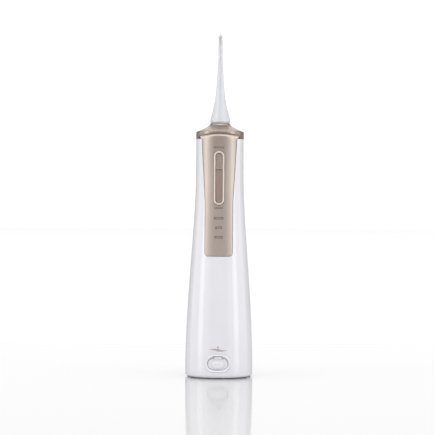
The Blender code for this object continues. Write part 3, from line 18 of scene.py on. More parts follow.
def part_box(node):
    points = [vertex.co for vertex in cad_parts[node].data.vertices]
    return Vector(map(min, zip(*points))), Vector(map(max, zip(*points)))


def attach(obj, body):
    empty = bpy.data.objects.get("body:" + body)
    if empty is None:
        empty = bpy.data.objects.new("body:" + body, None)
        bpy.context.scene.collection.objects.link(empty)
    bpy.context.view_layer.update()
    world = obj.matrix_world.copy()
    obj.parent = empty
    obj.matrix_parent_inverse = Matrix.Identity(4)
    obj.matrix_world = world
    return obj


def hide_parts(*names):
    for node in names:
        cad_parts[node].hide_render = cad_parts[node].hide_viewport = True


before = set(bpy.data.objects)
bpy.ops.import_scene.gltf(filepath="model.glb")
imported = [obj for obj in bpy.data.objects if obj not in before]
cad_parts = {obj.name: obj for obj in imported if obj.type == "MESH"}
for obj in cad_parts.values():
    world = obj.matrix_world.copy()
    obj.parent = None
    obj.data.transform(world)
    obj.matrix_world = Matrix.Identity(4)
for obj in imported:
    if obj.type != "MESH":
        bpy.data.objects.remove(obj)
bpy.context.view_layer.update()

MM = 0.001
LOG = logging.getLogger("flosser")

Colour = tuple[float, float, float]
Place = tuple[float, float, float]
Steps = Sequence[tuple[float, float]]


class Element(Enum):
    """What an edit-mode selection picks."""

    VERTEX = "VERT"
    EDGE = "EDGE"
    FACE = "FACE"


class Axis(Enum):
    """An axis to turn about or to run along."""

    X = "X"
    Y = "Y"
    Z = "Z"


# ---------------------------------------------------------------- node graphs
class Signal:
    """A node's output that adds, multiplies and compares like a number."""

    def __init__(self, graph: "Graph", socket: bpy.types.NodeSocket) -> None:
        """Wraps one output socket of a graph."""
        self.graph = graph
        self.socket = socket

    def math(self, operation: str, first: "Operand", second: "Operand" = 0.0) -> "Signal":
        """Adds a Math node.

        Args:
            operation: The node's operation.
            first: Its first value.
            second: Its second value.

        Returns:
            The node's result.
        """
        node = self.graph.node("ShaderNodeMath", {"operation": operation}, {0: first, 1: second})
        return Signal(self.graph, node.outputs[0])

    def __add__(self, other: "Operand") -> "Signal":
        """Sum."""
        return self.math("ADD", self, other)

    __radd__ = __add__

    def __sub__(self, other: "Operand") -> "Signal":
        """Difference."""
        return self.math("SUBTRACT", self, other)

    def __rsub__(self, other: "Operand") -> "Signal":
        """Difference from a number."""
        return self.math("SUBTRACT", other, self)

    def __mul__(self, other: "Operand") -> "Signal":
        """Product."""
        return self.math("MULTIPLY", self, other)

    __rmul__ = __mul__

    def __truediv__(self, other: "Operand") -> "Signal":
        """Quotient."""
        return self.math("DIVIDE", self, other)

    def __rtruediv__(self, other: "Operand") -> "Signal":
        """Quotient of a number by this."""
        return self.math("DIVIDE", other, self)

    def __lt__(self, other: "Operand") -> "Signal":
        """1 where this is the smaller."""
        return self.math("LESS_THAN", self, other)

    def __gt__(self, other: "Operand") -> "Signal":
        """1 where this is the larger."""
        return self.math("GREATER_THAN", self, other)

    def __abs__(self) -> "Signal":
        """Size without its sign."""
        return self.math("ABSOLUTE", self)

    def larger(self, other: "Operand") -> "Signal":
        """The larger of two values."""
        return self.math("MAXIMUM", self, other)

    def root(self) -> "Signal":
        """Square root."""
        return self.math("SQRT", self)

    def sine(self) -> "Signal":
        """Sine of an angle in radians."""
        return self.math("SINE", self)

    def fraction(self) -> "Signal":
        """What is left above the whole number below."""
        return self.math("FRACT", self)

    def ramp(self, low: float, high: float) -> "Signal":
        """Rises smoothly from 0 to 1.

        Args:
            low: Where the rise starts.
            high: Where it ends.

        Returns:
            The eased value.
        """
        node = self.graph.node("ShaderNodeMapRange", {"interpolation_type": "SMOOTHSTEP"},
                               {"Value": self, "From Min": low, "From Max": high})
        return Signal(self.graph, node.outputs[0])


Operand = Union[Signal, float]


class Graph:
    """The node tree of one material or world."""

    def __init__(self, tree: bpy.types.NodeTree) -> None:
        """Starts from the tree's own nodes."""
        self.tree = tree

    def node(self, kind: str, settings: dict[str, object], values: dict[object, object]) -> bpy.types.Node:
        """Adds a node.

        Args:
            kind: The node's type.
            settings: Properties of the node.
            values: What each input holds or is linked to, by its name or number.

        Returns:
            The new node.
        """
        added = self.tree.nodes.new(kind)
        for name, value in settings.items():
            setattr(added, name, value)
        for key, value in values.items():
            self.feed(added.inputs[key], value)
        return added

    def feed(self, target: bpy.types.NodeSocket, value: object) -> None:
        """Links a signal to an input, or sets a constant on it."""
        if isinstance(value, Signal):
            self.tree.links.new(value.socket, target)
        elif isinstance(value, bpy.types.NodeSocket):
            self.tree.links.new(value, target)
        else:
            target.default_value = value

    def place(self) -> tuple[bpy.types.NodeSocket, Signal, Signal, Signal]:
        """The object's own coordinates.

        Returns:
            The vector socket and its x, y and z, in metres.
        """
        vector = self.node("ShaderNodeTexCoord", {}, {}).outputs["Object"]
        parts = self.node("ShaderNodeSeparateXYZ", {}, {0: vector}).outputs
        return vector, Signal(self, parts[0]), Signal(self, parts[1]), Signal(self, parts[2])

    def grain(self, vector: bpy.types.NodeSocket, scale: Place, detail: float = 2.0) -> Signal:
        """Noise stretched along an axis.

        Args:
            vector: The coordinates.
            scale: Waves in a metre along each axis.
            detail: How many finer layers it has.

        Returns:
            A value about 0.5.
        """
        stretched = self.node("ShaderNodeVectorMath", {"operation": "MULTIPLY"}, {0: vector, 1: scale})
        noise = self.node("ShaderNodeTexNoise", {}, {
            "Vector": stretched.outputs[0], "Scale": 1.0, "Detail": detail})
        return Signal(self, noise.outputs[0])

    def mix(self, share: Operand, first: object, second: object) -> bpy.types.NodeSocket:
        """Blends two colours.

        Args:
            share: How much of the second shows, from 0 to 1.
            first: The first colour.
            second: The second colour.

        Returns:
            The blended colour.
        """
        colours = {6: _rgba(first), 7: _rgba(second)}
        added = self.node("ShaderNodeMix", {"data_type": "RGBA"}, {0: share, **colours})
        return added.outputs[2]

    def bump(self, height: Signal, depth: float) -> bpy.types.NodeSocket:
        """Turns a height into a normal.

        Args:
            height: The height, about 0 to 1.
            depth: How deep 1 is, in metres.

        Returns:
            The normal.
        """
        return self.node("ShaderNodeBump", {}, {
            "Height": height, "Distance": depth, "Strength": 1.0}).outputs[0]


def _rgba(colour: object) -> object:
    """Adds an alpha to a plain colour and passes a socket through."""
    return (*colour, 1.0) if isinstance(colour, tuple) else colour


def shader_graph(name: str) -> tuple[bpy.types.Material, Graph, bpy.types.Node]:
    """Makes an empty surface material.

    Args:
        name: The material's name.

    Returns:
        The material, its graph and its Principled shader.
    """
    material = bpy.data.materials.new(name)
    material.use_nodes = True
    return material, Graph(material.node_tree), material.node_tree.nodes["Principled BSDF"]


# ---------------------------------------------------------------- finishes
@dataclass(frozen=True)
class Moulded:
    """Moulded plastic, rubber or a printed board: a colour with mottle, a fine texture and some gloss."""

    name: str
    colour: Colour
    tone: Colour
    roughness: float
    texture: float = 700.0
    depth: float = 4e-6
    coat: float = 0.0
    specular: float = 0.5
    subsurface: float = 0.0

    def material(self) -> bpy.types.Material:
        """Builds the material."""
        material, graph, shader = shader_graph(self.name)
        vector = graph.place()[0]
        mottle = graph.grain(vector, (60.0, 60.0, 60.0))
        fine = graph.grain(vector, (self.texture,) * 3, 3.0)
        graph.feed(shader.inputs["Base Color"], graph.mix(mottle.ramp(0.3, 0.7), self.colour, self.tone))
        graph.feed(shader.inputs["Roughness"], fine * 0.08 + (self.roughness - 0.04))
        graph.feed(shader.inputs["Normal"], graph.bump(fine, self.depth))
        shader.inputs["Coat Weight"].default_value = self.coat
        shader.inputs["Coat Roughness"].default_value = 0.04
        shader.inputs["Specular IOR Level"].default_value = self.specular
        shader.inputs["Subsurface Weight"].default_value = self.subsurface
        shader.inputs["Subsurface Scale"].default_value = 2 * MM
        return material


@dataclass(frozen=True)
class GlossShell:
    """White high-gloss moulding of the sleeve, with a printed wave and drop above the fill port."""

    name: str = "white_gloss_shell"
    colour: Colour = (0.755, 0.75, 0.785)
    tone: Colour = (0.742, 0.737, 0.774)
    print_colour: Colour = (0.34, 0.28, 0.27)
    roughness: float = 0.16
    wave_height: float = 24.6 * MM
    wave_half_width: float = 8.2 * MM
    marked: bool = True

    def material(self) -> bpy.types.Material:
        """Builds the material."""
        material, graph, shader = shader_graph(self.name)
        vector, across, depth, height = graph.place()
        mottle = graph.grain(vector, (35.0, 35.0, 35.0))
        peel = graph.grain(vector, (420.0, 420.0, 420.0), 1.0)
        base = graph.mix(mottle.ramp(0.3, 0.7), self.colour, self.tone)
        if self.marked:
            front = depth < 0.0
            base = graph.mix(self.mark(across, height) * front * 0.8, base, self.print_colour)
        graph.feed(shader.inputs["Base Color"], base)
        graph.feed(shader.inputs["Roughness"], mottle * 0.05 + (self.roughness - 0.02))
        graph.feed(shader.inputs["Normal"], graph.bump(peel, 1.5e-6))
        shader.inputs["Coat Weight"].default_value = 1.0
        shader.inputs["Coat Roughness"].default_value = 0.025
        return material

    def mark(self, across: Signal, height: Signal) -> Signal:
        """A tapering wave line with a small drop over it.

        Args:
            across: Distance from the middle plane.
            height: Height on the sleeve.

        Returns:
            1 inside the mark.
        """
        rise = height - self.wave_height
        wave = (across * (math.pi / self.wave_half_width)).sine() * (-0.55 * MM)
        taper = 1.0 - abs(across) / self.wave_half_width
        line = abs(rise - wave) < taper * (1.1 * MM)
        drop_rise = rise - 2.3 * MM
        reach = (across * across + drop_rise * drop_rise).root()
        return line.larger(reach < 0.85 * MM)


@dataclass(frozen=True)
class Anodised:
    """Anodised, finely brushed metal with an optional set of printed marks on its front, and an optional
    painted shade that darkens its middle towards the top.
    """

    name: str
    colour: Colour
    tone: Colour
    roughness: float = 0.30
    metallic: float = 0.9
    depth: float = 3e-6
    print_colour: Colour = (0.10, 0.07, 0.055)
    print_strength: float = 0.6
    label_heights: tuple[float, ...] = ()
    label_half_width: float = 4.2 * MM
    label_half_height: float = 0.75 * MM
    label_narrowing: float = 0.4 * MM
    painted_shade_low: float = 0.0
    painted_shade_high: float = 0.0
    painted_shade: Colour = (0.2, 0.15, 0.12)
    painted_shade_strength: float = 0.25

    def material(self) -> bpy.types.Material:
        """Builds the material."""
        material, graph, shader = shader_graph(self.name)
        vector, across, _, height = graph.place()
        brushed = graph.grain(vector, (2600.0, 2600.0, 70.0), 3.0)
        cloud = graph.grain(vector, (30.0, 30.0, 20.0))
        base = graph.mix((brushed * 0.5 + cloud * 0.5).ramp(0.35, 0.65), self.colour, self.tone)
        # painted shade: darkens the middle of the front between two heights, growing towards the upper one
        if self.painted_shade_high > self.painted_shade_low:
            middle = 1.0 - abs(across).ramp(3 * MM, 13 * MM)
            painted_shade_share = height.ramp(self.painted_shade_low, self.painted_shade_high) * middle * self.painted_shade_strength
            base = graph.mix(painted_shade_share, base, self.painted_shade)
        if self.label_heights:
            base = graph.mix(self.labels(across, height) * self.print_strength, base, self.print_colour)
        graph.feed(shader.inputs["Base Color"], base)
        graph.feed(shader.inputs["Roughness"], brushed * 0.12 + (self.roughness - 0.06))
        graph.feed(shader.inputs["Normal"], graph.bump(brushed, self.depth))
        shader.inputs["Metallic"].default_value = self.metallic
        return material

    def labels(self, across: Signal, height: Signal) -> Signal:
        """Rows of plain strokes of uneven length.

        Args:
            across: Distance from the middle plane.
            height: Height on the panel.

        Returns:
            1 inside a stroke.
        """
        marks: Operand = 0.0
        for order, label in enumerate(self.label_heights):
            pitch = (1.35 + 0.2 * order) * MM
            stroke = (across / pitch + 0.5).fraction() < 0.66
            row = abs(height - label) < self.label_half_height
            side = abs(across) < self.label_half_width - self.label_narrowing * order
            marks = stroke * row * side + marks
        return marks


@dataclass(frozen=True)
class Frosted:
    """Milky translucent plastic of the nozzle, with a painted shade that darkens its top 45 mm towards the
    tip.
    """

    name: str = "milky_nozzle"
    colour: Colour = (0.90, 0.91, 0.95)
    roughness: float = 0.22
    transmission: float = 0.45

    def material(self) -> bpy.types.Material:
        """Builds the material."""
        material, graph, shader = shader_graph(self.name)
        vector, _, _, height = graph.place()
        cloud = graph.grain(vector, (180.0, 180.0, 90.0))
        # painted shade: the colour darkens over the top 45 mm towards the tip
        painted_tip_shade = height.ramp(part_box("nozzle")[1].z - 45 * MM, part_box("nozzle")[1].z)
        base = graph.mix(cloud.ramp(0.3, 0.7) * 0.6, self.colour, (0.86, 0.87, 0.92))
        graph.feed(shader.inputs["Base Color"], graph.mix(painted_tip_shade * 0.25, base, (0.72, 0.73, 0.78)))
        graph.feed(shader.inputs["Roughness"], cloud * 0.1 + (self.roughness - 0.05))
        graph.feed(shader.inputs["Normal"], graph.bump(cloud, 4e-6))
        shader.inputs["Transmission Weight"].default_value = self.transmission
        shader.inputs["IOR"].default_value = 1.46
        return material


@dataclass(frozen=True)
class Glow:
    """A lamp or light guide, cloudy and faintly lit."""

    name: str
    colour: Colour
    strength: float

    def material(self) -> bpy.types.Material:
        """Builds the material."""
        material, graph, shader = shader_graph(self.name)
        cloud = graph.grain(graph.place()[0], (500.0, 500.0, 500.0))
        base = graph.mix(cloud.ramp(0.3, 0.7) * 0.5, self.colour, (0.70, 0.66, 0.60))
        graph.feed(shader.inputs["Base Color"], base)
        graph.feed(shader.inputs["Emission Color"], base)
        graph.feed(shader.inputs["Roughness"], cloud * 0.2 + 0.25)
        shader.inputs["Emission Strength"].default_value = self.strength
        return material


Finish = Union[Moulded, GlossShell, Anodised, Frosted, Glow]

SHELL = GlossShell()
PLAIN_WHITE = GlossShell(name="white_gloss_plain", marked=False)
# The panel's finish has printed labels and a painted shade over its middle towards the top.
PANEL = Anodised("champagne_panel", (0.50, 0.425, 0.375), (0.54, 0.46, 0.41), roughness=0.38, metallic=0.75,
                 label_heights=(197.4 * MM, 145.5 * MM), label_half_width=4.7 * MM, label_narrowing=0.8 * MM,
                 painted_shade_low=165 * MM, painted_shade_high=203 * MM)
# Partly the ring's polished champagne metal, partly a painted highlight: a lighter colour with little metal
# so the ring looks bright all round.
POLISHED_AND_PAINTED_HIGHLIGHT = Anodised("champagne_polished", (0.74, 0.655, 0.60), (0.78, 0.70, 0.645),
                  roughness=0.35, metallic=0.4)
# Painted highlight: the bevel's champagne metal is given a lighter colour with little metal, so it looks lit
# all over.
CRESCENT_PAINTED_HIGHLIGHT = Anodised("champagne_crescent_painted_highlight", (0.70, 0.605, 0.54), (0.74, 0.645, 0.58),
                    roughness=0.5, metallic=0.15)
CAP = Anodised("champagne_cap", (0.37, 0.295, 0.25), (0.41, 0.33, 0.28), roughness=0.26)
POWER = Anodised("champagne_key", (0.50, 0.42, 0.365), (0.53, 0.45, 0.39), roughness=0.34)
MODE = Anodised("brown_key", (0.40, 0.31, 0.26), (0.43, 0.34, 0.285), roughness=0.34, metallic=0.7)
INNER = Moulded("inner_moulding", (0.66, 0.67, 0.69), (0.62, 0.63, 0.66), 0.42, depth=8e-6)
SILICONE = Moulded("silicone", (0.66, 0.67, 0.69), (0.60, 0.61, 0.64), 0.55, subsurface=0.2)
RUBBER = Moulded("seal_rubber", (0.025, 0.025, 0.026), (0.04, 0.04, 0.04), 0.6)
ACETAL = Moulded("acetal", (0.72, 0.70, 0.65), (0.67, 0.65, 0.60), 0.4, subsurface=0.1)
BOARD = Moulded("circuit_board", (0.02, 0.14, 0.06), (0.03, 0.20, 0.09), 0.35, texture=2500.0, coat=0.4)
BLACK = Moulded("switch_black", (0.03, 0.03, 0.03), (0.05, 0.05, 0.05), 0.45)
WRAP = Moulded("cell_wrap", (0.03, 0.12, 0.32), (0.04, 0.16, 0.40), 0.3, coat=0.5)
STEEL = Anodised("steel", (0.52, 0.52, 0.53), (0.60, 0.60, 0.61), roughness=0.3, metallic=1.0)
NOZZLE = Frosted()
GUIDE = Anodised("smoked_guide", (0.42, 0.355, 0.315), (0.46, 0.39, 0.345), roughness=0.3, metallic=0.3,
                 label_heights=(136.8 * MM, 128.7 * MM, 120.5 * MM), label_half_height=0.5 * MM,
                 print_strength=0.4)
LAMP = Glow("lamp", (0.90, 0.88, 0.82), 0.5)


class Wardrobe:
    """Makes each finish's material once and puts it on pieces."""

    def __init__(self) -> None:
        """Starts with nothing made."""
        self.made: dict[str, bpy.types.Material] = {}

    def dress(self, piece: bpy.types.Object, finish: Finish) -> None:
        """Gives a piece a finish."""
        if finish.name not in self.made:
            self.made[finish.name] = finish.material()
        piece.data.materials.clear()
        piece.data.materials.append(self.made[finish.name])


# ---------------------------------------------------------------- the bench
class Bench:
    """One mesh being modelled: a primitive that edit-mode operators and modifiers turn into a piece."""

    def __init__(self, name: str) -> None:
        """Takes the primitive that was just added, sets its place into its mesh and opens it."""
        self.piece = bpy.context.active_object
        self.piece.name = name
        self.piece.data.name = name
        bpy.ops.object.transform_apply(location=True, rotation=True, scale=True)
        self.open()
        bpy.ops.mesh.select_all(action="SELECT")

    @staticmethod
    def clear() -> None:
        """Leaves edit mode and deselects every object."""
        if bpy.context.mode != "OBJECT":
            bpy.ops.object.mode_set(mode="OBJECT")
        bpy.ops.object.select_all(action="DESELECT")

    @classmethod
    def disc(cls, name: str, centre: Place, radius: float, sides: int, facing: Axis = Axis.Z) -> "Bench":
        """A filled circle that faces up, or forwards when its axis is Y."""
        cls.clear()
        turn = math.pi / 2 if facing is Axis.Y else 0.0
        bpy.ops.mesh.primitive_circle_add(vertices=sides, radius=radius, fill_type="NGON",
                                          location=centre, rotation=(turn, 0.0, 0.0))
        return cls(name)

    @classmethod
    def oval(cls, name: str, form: "BodyForm", half_width: float, half_depth: float,
             height: float, segments: int = 24) -> "Bench":
        """A filled rounded oval.

        Args:
            name: The piece's name.
            form: The body whose roundness it has.
            half_width: Half its width.
            half_depth: Half its depth.
            height: Where it lies.
            segments: Edges in each quarter.

        Returns:
            The open mesh, all selected.
        """
        cls.clear()
        bpy.ops.mesh.primitive_plane_add(size=2.0, location=(0.0, 0.0, height))
        bench = cls(name)
        bpy.ops.mesh.bevel(offset=1.0, segments=segments, profile=form.bevel_profile, affect="VERTICES")
        bpy.ops.mesh.select_all(action="SELECT")
        bpy.ops.mesh.remove_doubles(threshold=0.0001)
        bench.resize((half_width, half_depth, 1.0), (0.0, 0.0, height))
        return bench

    @classmethod
    def block(cls, name: str, low: Place, high: Place) -> "Bench":
        """A box between two corners."""
        cls.clear()
        size = Vector(high) - Vector(low)
        bpy.ops.mesh.primitive_cube_add(size=1.0, location=(Vector(low) + Vector(high)) / 2, scale=size)
        return cls(name)

    @classmethod
    def bar(cls, name: str, start: Place, end: Place, radius: float, sides: int = 48) -> "Bench":
        """A round bar between two points."""
        cls.clear()
        way = Vector(end) - Vector(start)
        turn = way.to_track_quat("Z", "Y").to_euler()
        bpy.ops.mesh.primitive_cylinder_add(vertices=sides, radius=radius, depth=way.length,
                                            location=(Vector(start) + Vector(end)) / 2, rotation=turn)
        return cls(name)

    def open(self) -> None:
        """Opens the mesh in edit mode."""
        self.clear()
        self.piece.select_set(True)
        bpy.context.view_layer.objects.active = self.piece
        bpy.ops.object.mode_set(mode="EDIT")
        bpy.ops.mesh.select_mode(type="FACE")

    def select(self, element: Element, test: Callable[[Vector, Vector], bool]) -> None:
        """Selects elements by their place and normal.

        Args:
            element: What is picked.
            test: Says yes to a centre and a normal.
        """
        bpy.ops.mesh.select_mode(type=element.value)
        bpy.ops.mesh.select_all(action="DESELECT")
        mesh = bmesh.from_edit_mesh(self.piece.data)
        mesh.normal_update()
        if element is Element.FACE:
            for face in mesh.faces:
                face.select_set(test(face.calc_center_median(), face.normal))
        elif element is Element.VERTEX:
            for vert in mesh.verts:
                vert.select_set(test(vert.co, vert.normal))
        else:
            for edge in mesh.edges:
                middle = (edge.verts[0].co + edge.verts[1].co) / 2
                edge.select_set(test(middle, edge.verts[0].co - edge.verts[1].co))
        mesh.select_flush_mode()
        bmesh.update_edit_mesh(self.piece.data)

    def move(self, offset: Place) -> None:
        """Moves what is selected."""
        bpy.ops.transform.translate(value=offset)

    def extrude(self, offset: Place) -> None:
        """Pulls out what is selected."""
        bpy.ops.mesh.extrude_region_move(TRANSFORM_OT_translate={"value": offset})

    def resize(self, factors: Place, centre: Place) -> None:
        """Scales what is selected about a point."""
        bpy.ops.transform.resize(value=factors, center_override=centre)

    def rotate(self, angle: float, axis: Axis, centre: Place) -> None:
        """Turns what is selected about a point by the right-hand rule."""
        bpy.ops.transform.rotate(value=-angle, orient_axis=axis.value, center_override=centre)

    def inset(self, steps: Steps) -> None:
        """Insets the selected face again and again, each time by a width and a rise along its normal."""
        for width, rise in steps:
            bpy.ops.mesh.inset(thickness=width, depth=rise, use_even_offset=True)

    def delete(self, element: Element) -> None:
        """Removes what is selected."""
        bpy.ops.mesh.delete(type=element.value)

    def modifier(self, kind: str, settings: dict[str, object]) -> None:
        """Adds a modifier and applies it."""
        bpy.ops.object.mode_set(mode="OBJECT")
        added = self.piece.modifiers.new(kind.lower(), kind)
        for name, value in settings.items():
            setattr(added, name, value)
        bpy.ops.object.modifier_apply(modifier=added.name)
        self.open()

    def combine(self, others: Iterable["Bench"], operation: str = "DIFFERENCE") -> None:
        """Cuts, joins or keeps what is shared with other meshes, which are used up."""
        for other in others:
            other.close()
            self.open()
            self.modifier("BOOLEAN", {"operation": operation, "object": other.piece, "solver": "EXACT"})
            bpy.data.objects.remove(other.piece, do_unlink=True)

    def soften(self, width: float, angle: float = 40.0, segments: int = 2) -> None:
        """Rounds every edge that is sharper than an angle in degrees."""
        self.modifier("BEVEL", {"width": width, "segments": segments, "limit_method": "ANGLE",
                                "angle_limit": math.radians(angle), "use_clamp_overlap": True})

    def weld(self) -> None:
        """Merges doubled points and turns every face outwards."""
        self.open()
        bpy.ops.mesh.select_all(action="SELECT")
        bpy.ops.mesh.remove_doubles(threshold=0.5e-6)
        bpy.ops.mesh.normals_make_consistent(inside=False)

    def close(self) -> bpy.types.Object:
        """Welds the mesh and returns to object mode."""
        self.weld()
        bpy.ops.object.mode_set(mode="OBJECT")
        return self.piece

    def finish(self, angle: float = 32.0) -> bpy.types.Object:
        """Closes the mesh and smooths it between edges sharper than an angle.

        Args:
            angle: The angle in degrees.

        Returns:
            The finished object.
        """
        self.close()
        bpy.ops.object.shade_smooth_by_angle(angle=math.radians(angle))
        self.clear()
        return self.piece


# ---------------------------------------------------------------- the body's form
@dataclass(frozen=True)
class BodyForm:
    """The flared rounded-oval form that every outside piece follows."""

    base_half_width: float
    base_half_depth: float
    top_half_width: float
    top_half_depth: float
    flare_height: float
    flare_power: float = 1.6
    power: float = 2.3

    @classmethod
    def from_frame(cls) -> "BodyForm":
        """Reads the body's sizes from the frame."""
        sleeve_low, sleeve_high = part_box("tank_shell")
        cap_low, cap_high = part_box("top_cap")
        rim_inset = 0.05 * MM
        straight_top = 29.7 * MM
        return cls(
            base_half_width=(sleeve_high.x - sleeve_low.x) / 2,
            base_half_depth=sleeve_high.y,
            top_half_width=(cap_high.x - cap_low.x) / 2 + rim_inset,
            top_half_depth=(cap_high.y - cap_low.y) / 2 + rim_inset,
            flare_height=sleeve_high.z - straight_top,
        )

    @property
    def bevel_profile(self) -> float:
        """The corner bevel profile that gives the section's roundness."""
        return 2 ** (-2 / self.power)

    def flare(self, height: float) -> float:
        """How much of the base's extra size is left at a height, 1 at the base and 0 at the top."""
        if height >= self.flare_height:
            return 0.0
        return math.cos(math.pi / 2 * max(height, 0.0) / self.flare_height) ** self.flare_power

    def half_width(self, height: float) -> float:
        """Half the body's width at a height."""
        return self.top_half_width + (self.base_half_width - self.top_half_width) * self.flare(height)

    def half_depth(self, height: float) -> float:
        """Half the body's depth at a height."""
        return self.top_half_depth + (self.base_half_depth - self.top_half_depth) * self.flare(height)

    def surface_y(self, across: float, height: float, proud: float = 0.0) -> float:
        """The y of the body's front surface.

        Args:
            across: Distance from the middle plane.
            height: Height above the floor.
            proud: How far outside the body the surface lies.

        Returns:
            The y value.
        """
        share = min(abs(across) / (self.half_width(height) + proud), 1.0)
        return -(self.half_depth(height) + proud) * (1 - share ** self.power) ** (1 / self.power)

    def tower(self, name: str, heights: Sequence[float], grow: Callable[[float], float]) -> Bench:
        """Extrudes the section upwards and resizes it at each height.

        Args:
            name: The piece's name.
            heights: The heights of its sections.
            grow: How much larger than the body a section is at a height.

        Returns:
            The open mesh.
        """
        width = self.half_width(heights[0]) + grow(heights[0])
        depth = self.half_depth(heights[0]) + grow(heights[0])
        bench = Bench.oval(name, self, width, depth, heights[0])
        for below, height in zip(heights, heights[1:]):
            next_width = self.half_width(height) + grow(height)
            next_depth = self.half_depth(height) + grow(height)
            bench.extrude((0.0, 0.0, height - below))
            bench.resize((next_width / width, next_depth / depth, 1.0), (0.0, 0.0, height))
            width, depth = next_width, next_depth
        return bench

    def bow(self, bench: Bench, centre: float, flat_y: float, crest_y: float) -> None:
        """Bends a flat plate to the body's front, fully at its crest and not at all at its flat level.

        Args:
            bench: The plate.
            centre: The height where its crest is already right.
            flat_y: The level that stays flat.
            crest_y: The level that follows the body.
        """
        Bench.clear()
        for vert in bench.piece.data.vertices:
            share = min(max((vert.co.y - flat_y) / (crest_y - flat_y), 0.0), 1.0)
            here = self.surface_y(vert.co.x, vert.co.z)
            vert.co.y += share * (here - self.surface_y(0.0, centre))


def pill(name: str, centre: Place, half_across: float, half_up: float, sides: int = 64) -> Bench:
    """A filled stadium that faces forwards.

    Args:
        name: The piece's name.
        centre: Its centre.
        half_across: Half its width.
        half_up: Half its height.
        sides: Edges of the circle it is stretched from.

    Returns:
        The open mesh, all selected.
    """
    bench = Bench.disc(name, centre, min(half_across, half_up), sides, Axis.Y)
    stretch = half_across - half_up
    for sign in (-1.0, 1.0):
        if stretch > 0:
            bench.select(Element.VERTEX, lambda co, _: (co.x - centre[0]) * sign > 1e-6)
            bench.move((sign * stretch, 0.0, 0.0))
        elif stretch < 0:
            bench.select(Element.VERTEX, lambda co, _: (co.z - centre[2]) * sign > 1e-6)
            bench.move((0.0, 0.0, -sign * stretch))
    bpy.ops.mesh.select_mode(type="FACE")
    bpy.ops.mesh.select_all(action="SELECT")
    return bench


def pill_block(name: str, centre_z: float, half_across: float, half_up: float,
               low: float, high: float) -> Bench:
    """A stadium pushed through from one y to another, for cutting."""
    bench = pill(name, (0.0, high, centre_z), half_across, half_up)
    bench.extrude((0.0, low - high, 0.0))
    return bench


def ring_of(bench: Bench, back_y: float) -> None:
    """Turns a stepped plate into a frame: opens its inmost and back faces and bridges their edges.

    Args:
        bench: A plate whose inmost face is selected.
        back_y: The y of its back face.
    """
    bench.delete(Element.FACE)
    bench.select(Element.FACE, lambda co, normal: abs(co.y - back_y) < 1e-6 and abs(normal.y) > 0.9)
    bench.delete(Element.FACE)
    bpy.ops.mesh.select_mode(type="EDGE")
    bpy.ops.mesh.select_all(action="DESELECT")
    bpy.ops.mesh.select_non_manifold()
    bpy.ops.mesh.bridge_edge_loops()


@dataclass
class Assembly:
    """A sub-assembly: it rides on one body, builds its pieces and dresses them."""

    form: BodyForm
    wardrobe: Wardrobe
    body: str
    pieces: list[str] = field(default_factory=list)

    def place(self, bench: Bench, finish: Finish, slot: str, replaced: Sequence[str] = (),
              angle: float = 32.0) -> bpy.types.Object:
        """Finishes a piece, dresses it and hangs it on the sub-assembly's body.

        Args:
            bench: The piece's mesh.
            finish: Its finish.
            slot: The record's material slot; not used.
            replaced: The frame's nodes that it stands for.
            angle: Edges sharper than this many degrees stay crisp.

        Returns:
            The finished object.
        """
        piece = bench.finish(angle)
        self.wardrobe.dress(piece, finish)
        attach(piece, self.body)
        if replaced:
            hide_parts(*replaced)
        self.pieces.append(piece.name)
        LOG.info("%s: %s, %d faces", self.body, piece.name, len(piece.data.polygons))
        return piece


# ---------------------------------------------------------------- sleeve and fill port
@dataclass
class TankSleeve(Assembly):
    """The white flared sleeve with its panel notch, fill-port hole and rear notch."""

    wall: float = 2.0 * MM
    gap: float = 0.3 * MM
    foot_round: float = 2.4 * MM
    port_gap: float = 0.04 * MM
    rows: int = 36

    def build(self) -> None:
        """Models the sleeve."""
        low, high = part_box("tank_shell")
        foot = self.foot_round
        arc = [low.z + foot * (1 - math.cos(math.radians(angle))) for angle in (0, 25, 50, 70)]
        rows = [low.z + foot + (high.z - low.z - foot) * row / self.rows for row in range(self.rows + 1)]

        def tuck(height: float) -> float:
            """How far the rounded foot pulls the section in."""
            share = 1 - min((height - low.z) / foot, 1.0)
            return -foot * (1 - math.sqrt(1 - share ** 2))

        bench = self.form.tower("sleeve", arc + rows, tuck)
        for end in (low.z, high.z):
            bench.select(Element.FACE, lambda co, normal: abs(co.z - end) < 1e-6 and abs(normal.z) > 0.9)
            bench.delete(Element.FACE)
        bench.weld()
        bench.modifier("SOLIDIFY", {"thickness": self.wall, "offset": -1.0, "use_even_offset": True})
        bench.combine([self.panel_notch(), self.port_hole(), self.rear_notch()])
        bench.soften(0.18 * MM, 50.0)
        self.place(bench, SHELL, "white_shell", ["tank_shell"], 40.0)

    def panel_notch(self) -> Bench:
        """The cutter for the notch that the panel lies in."""
        return FrontPanel(self.form, self.wardrobe, "handle").blank("notch_cutter", self.gap)

    def port_hole(self) -> Bench:
        """The cutter for the fill port's hole."""
        low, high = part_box("fill_port_frame")
        half_across = (high.x - low.x) / 2 + self.port_gap
        half_up = (high.z - low.z) / 2 + self.port_gap
        return pill_block("port_cutter", (low.z + high.z) / 2, half_across, half_up, -50 * MM, -10 * MM)

    def rear_notch(self) -> Bench:
        """The cutter for the notch that the rear tongue lies in."""
        low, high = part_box("rear_tongue")
        bench = Bench.block("rear_cutter", (low.x - self.gap, 10 * MM, low.z - self.gap),
                            (high.x + self.gap, 50 * MM, high.z + 9 * MM))
        bench.select(Element.EDGE, lambda middle, way: abs(way.y) > 1 * MM and middle.z < low.z + MM)
        bpy.ops.mesh.bevel(offset=2 * MM, segments=8, affect="EDGES")
        return bench


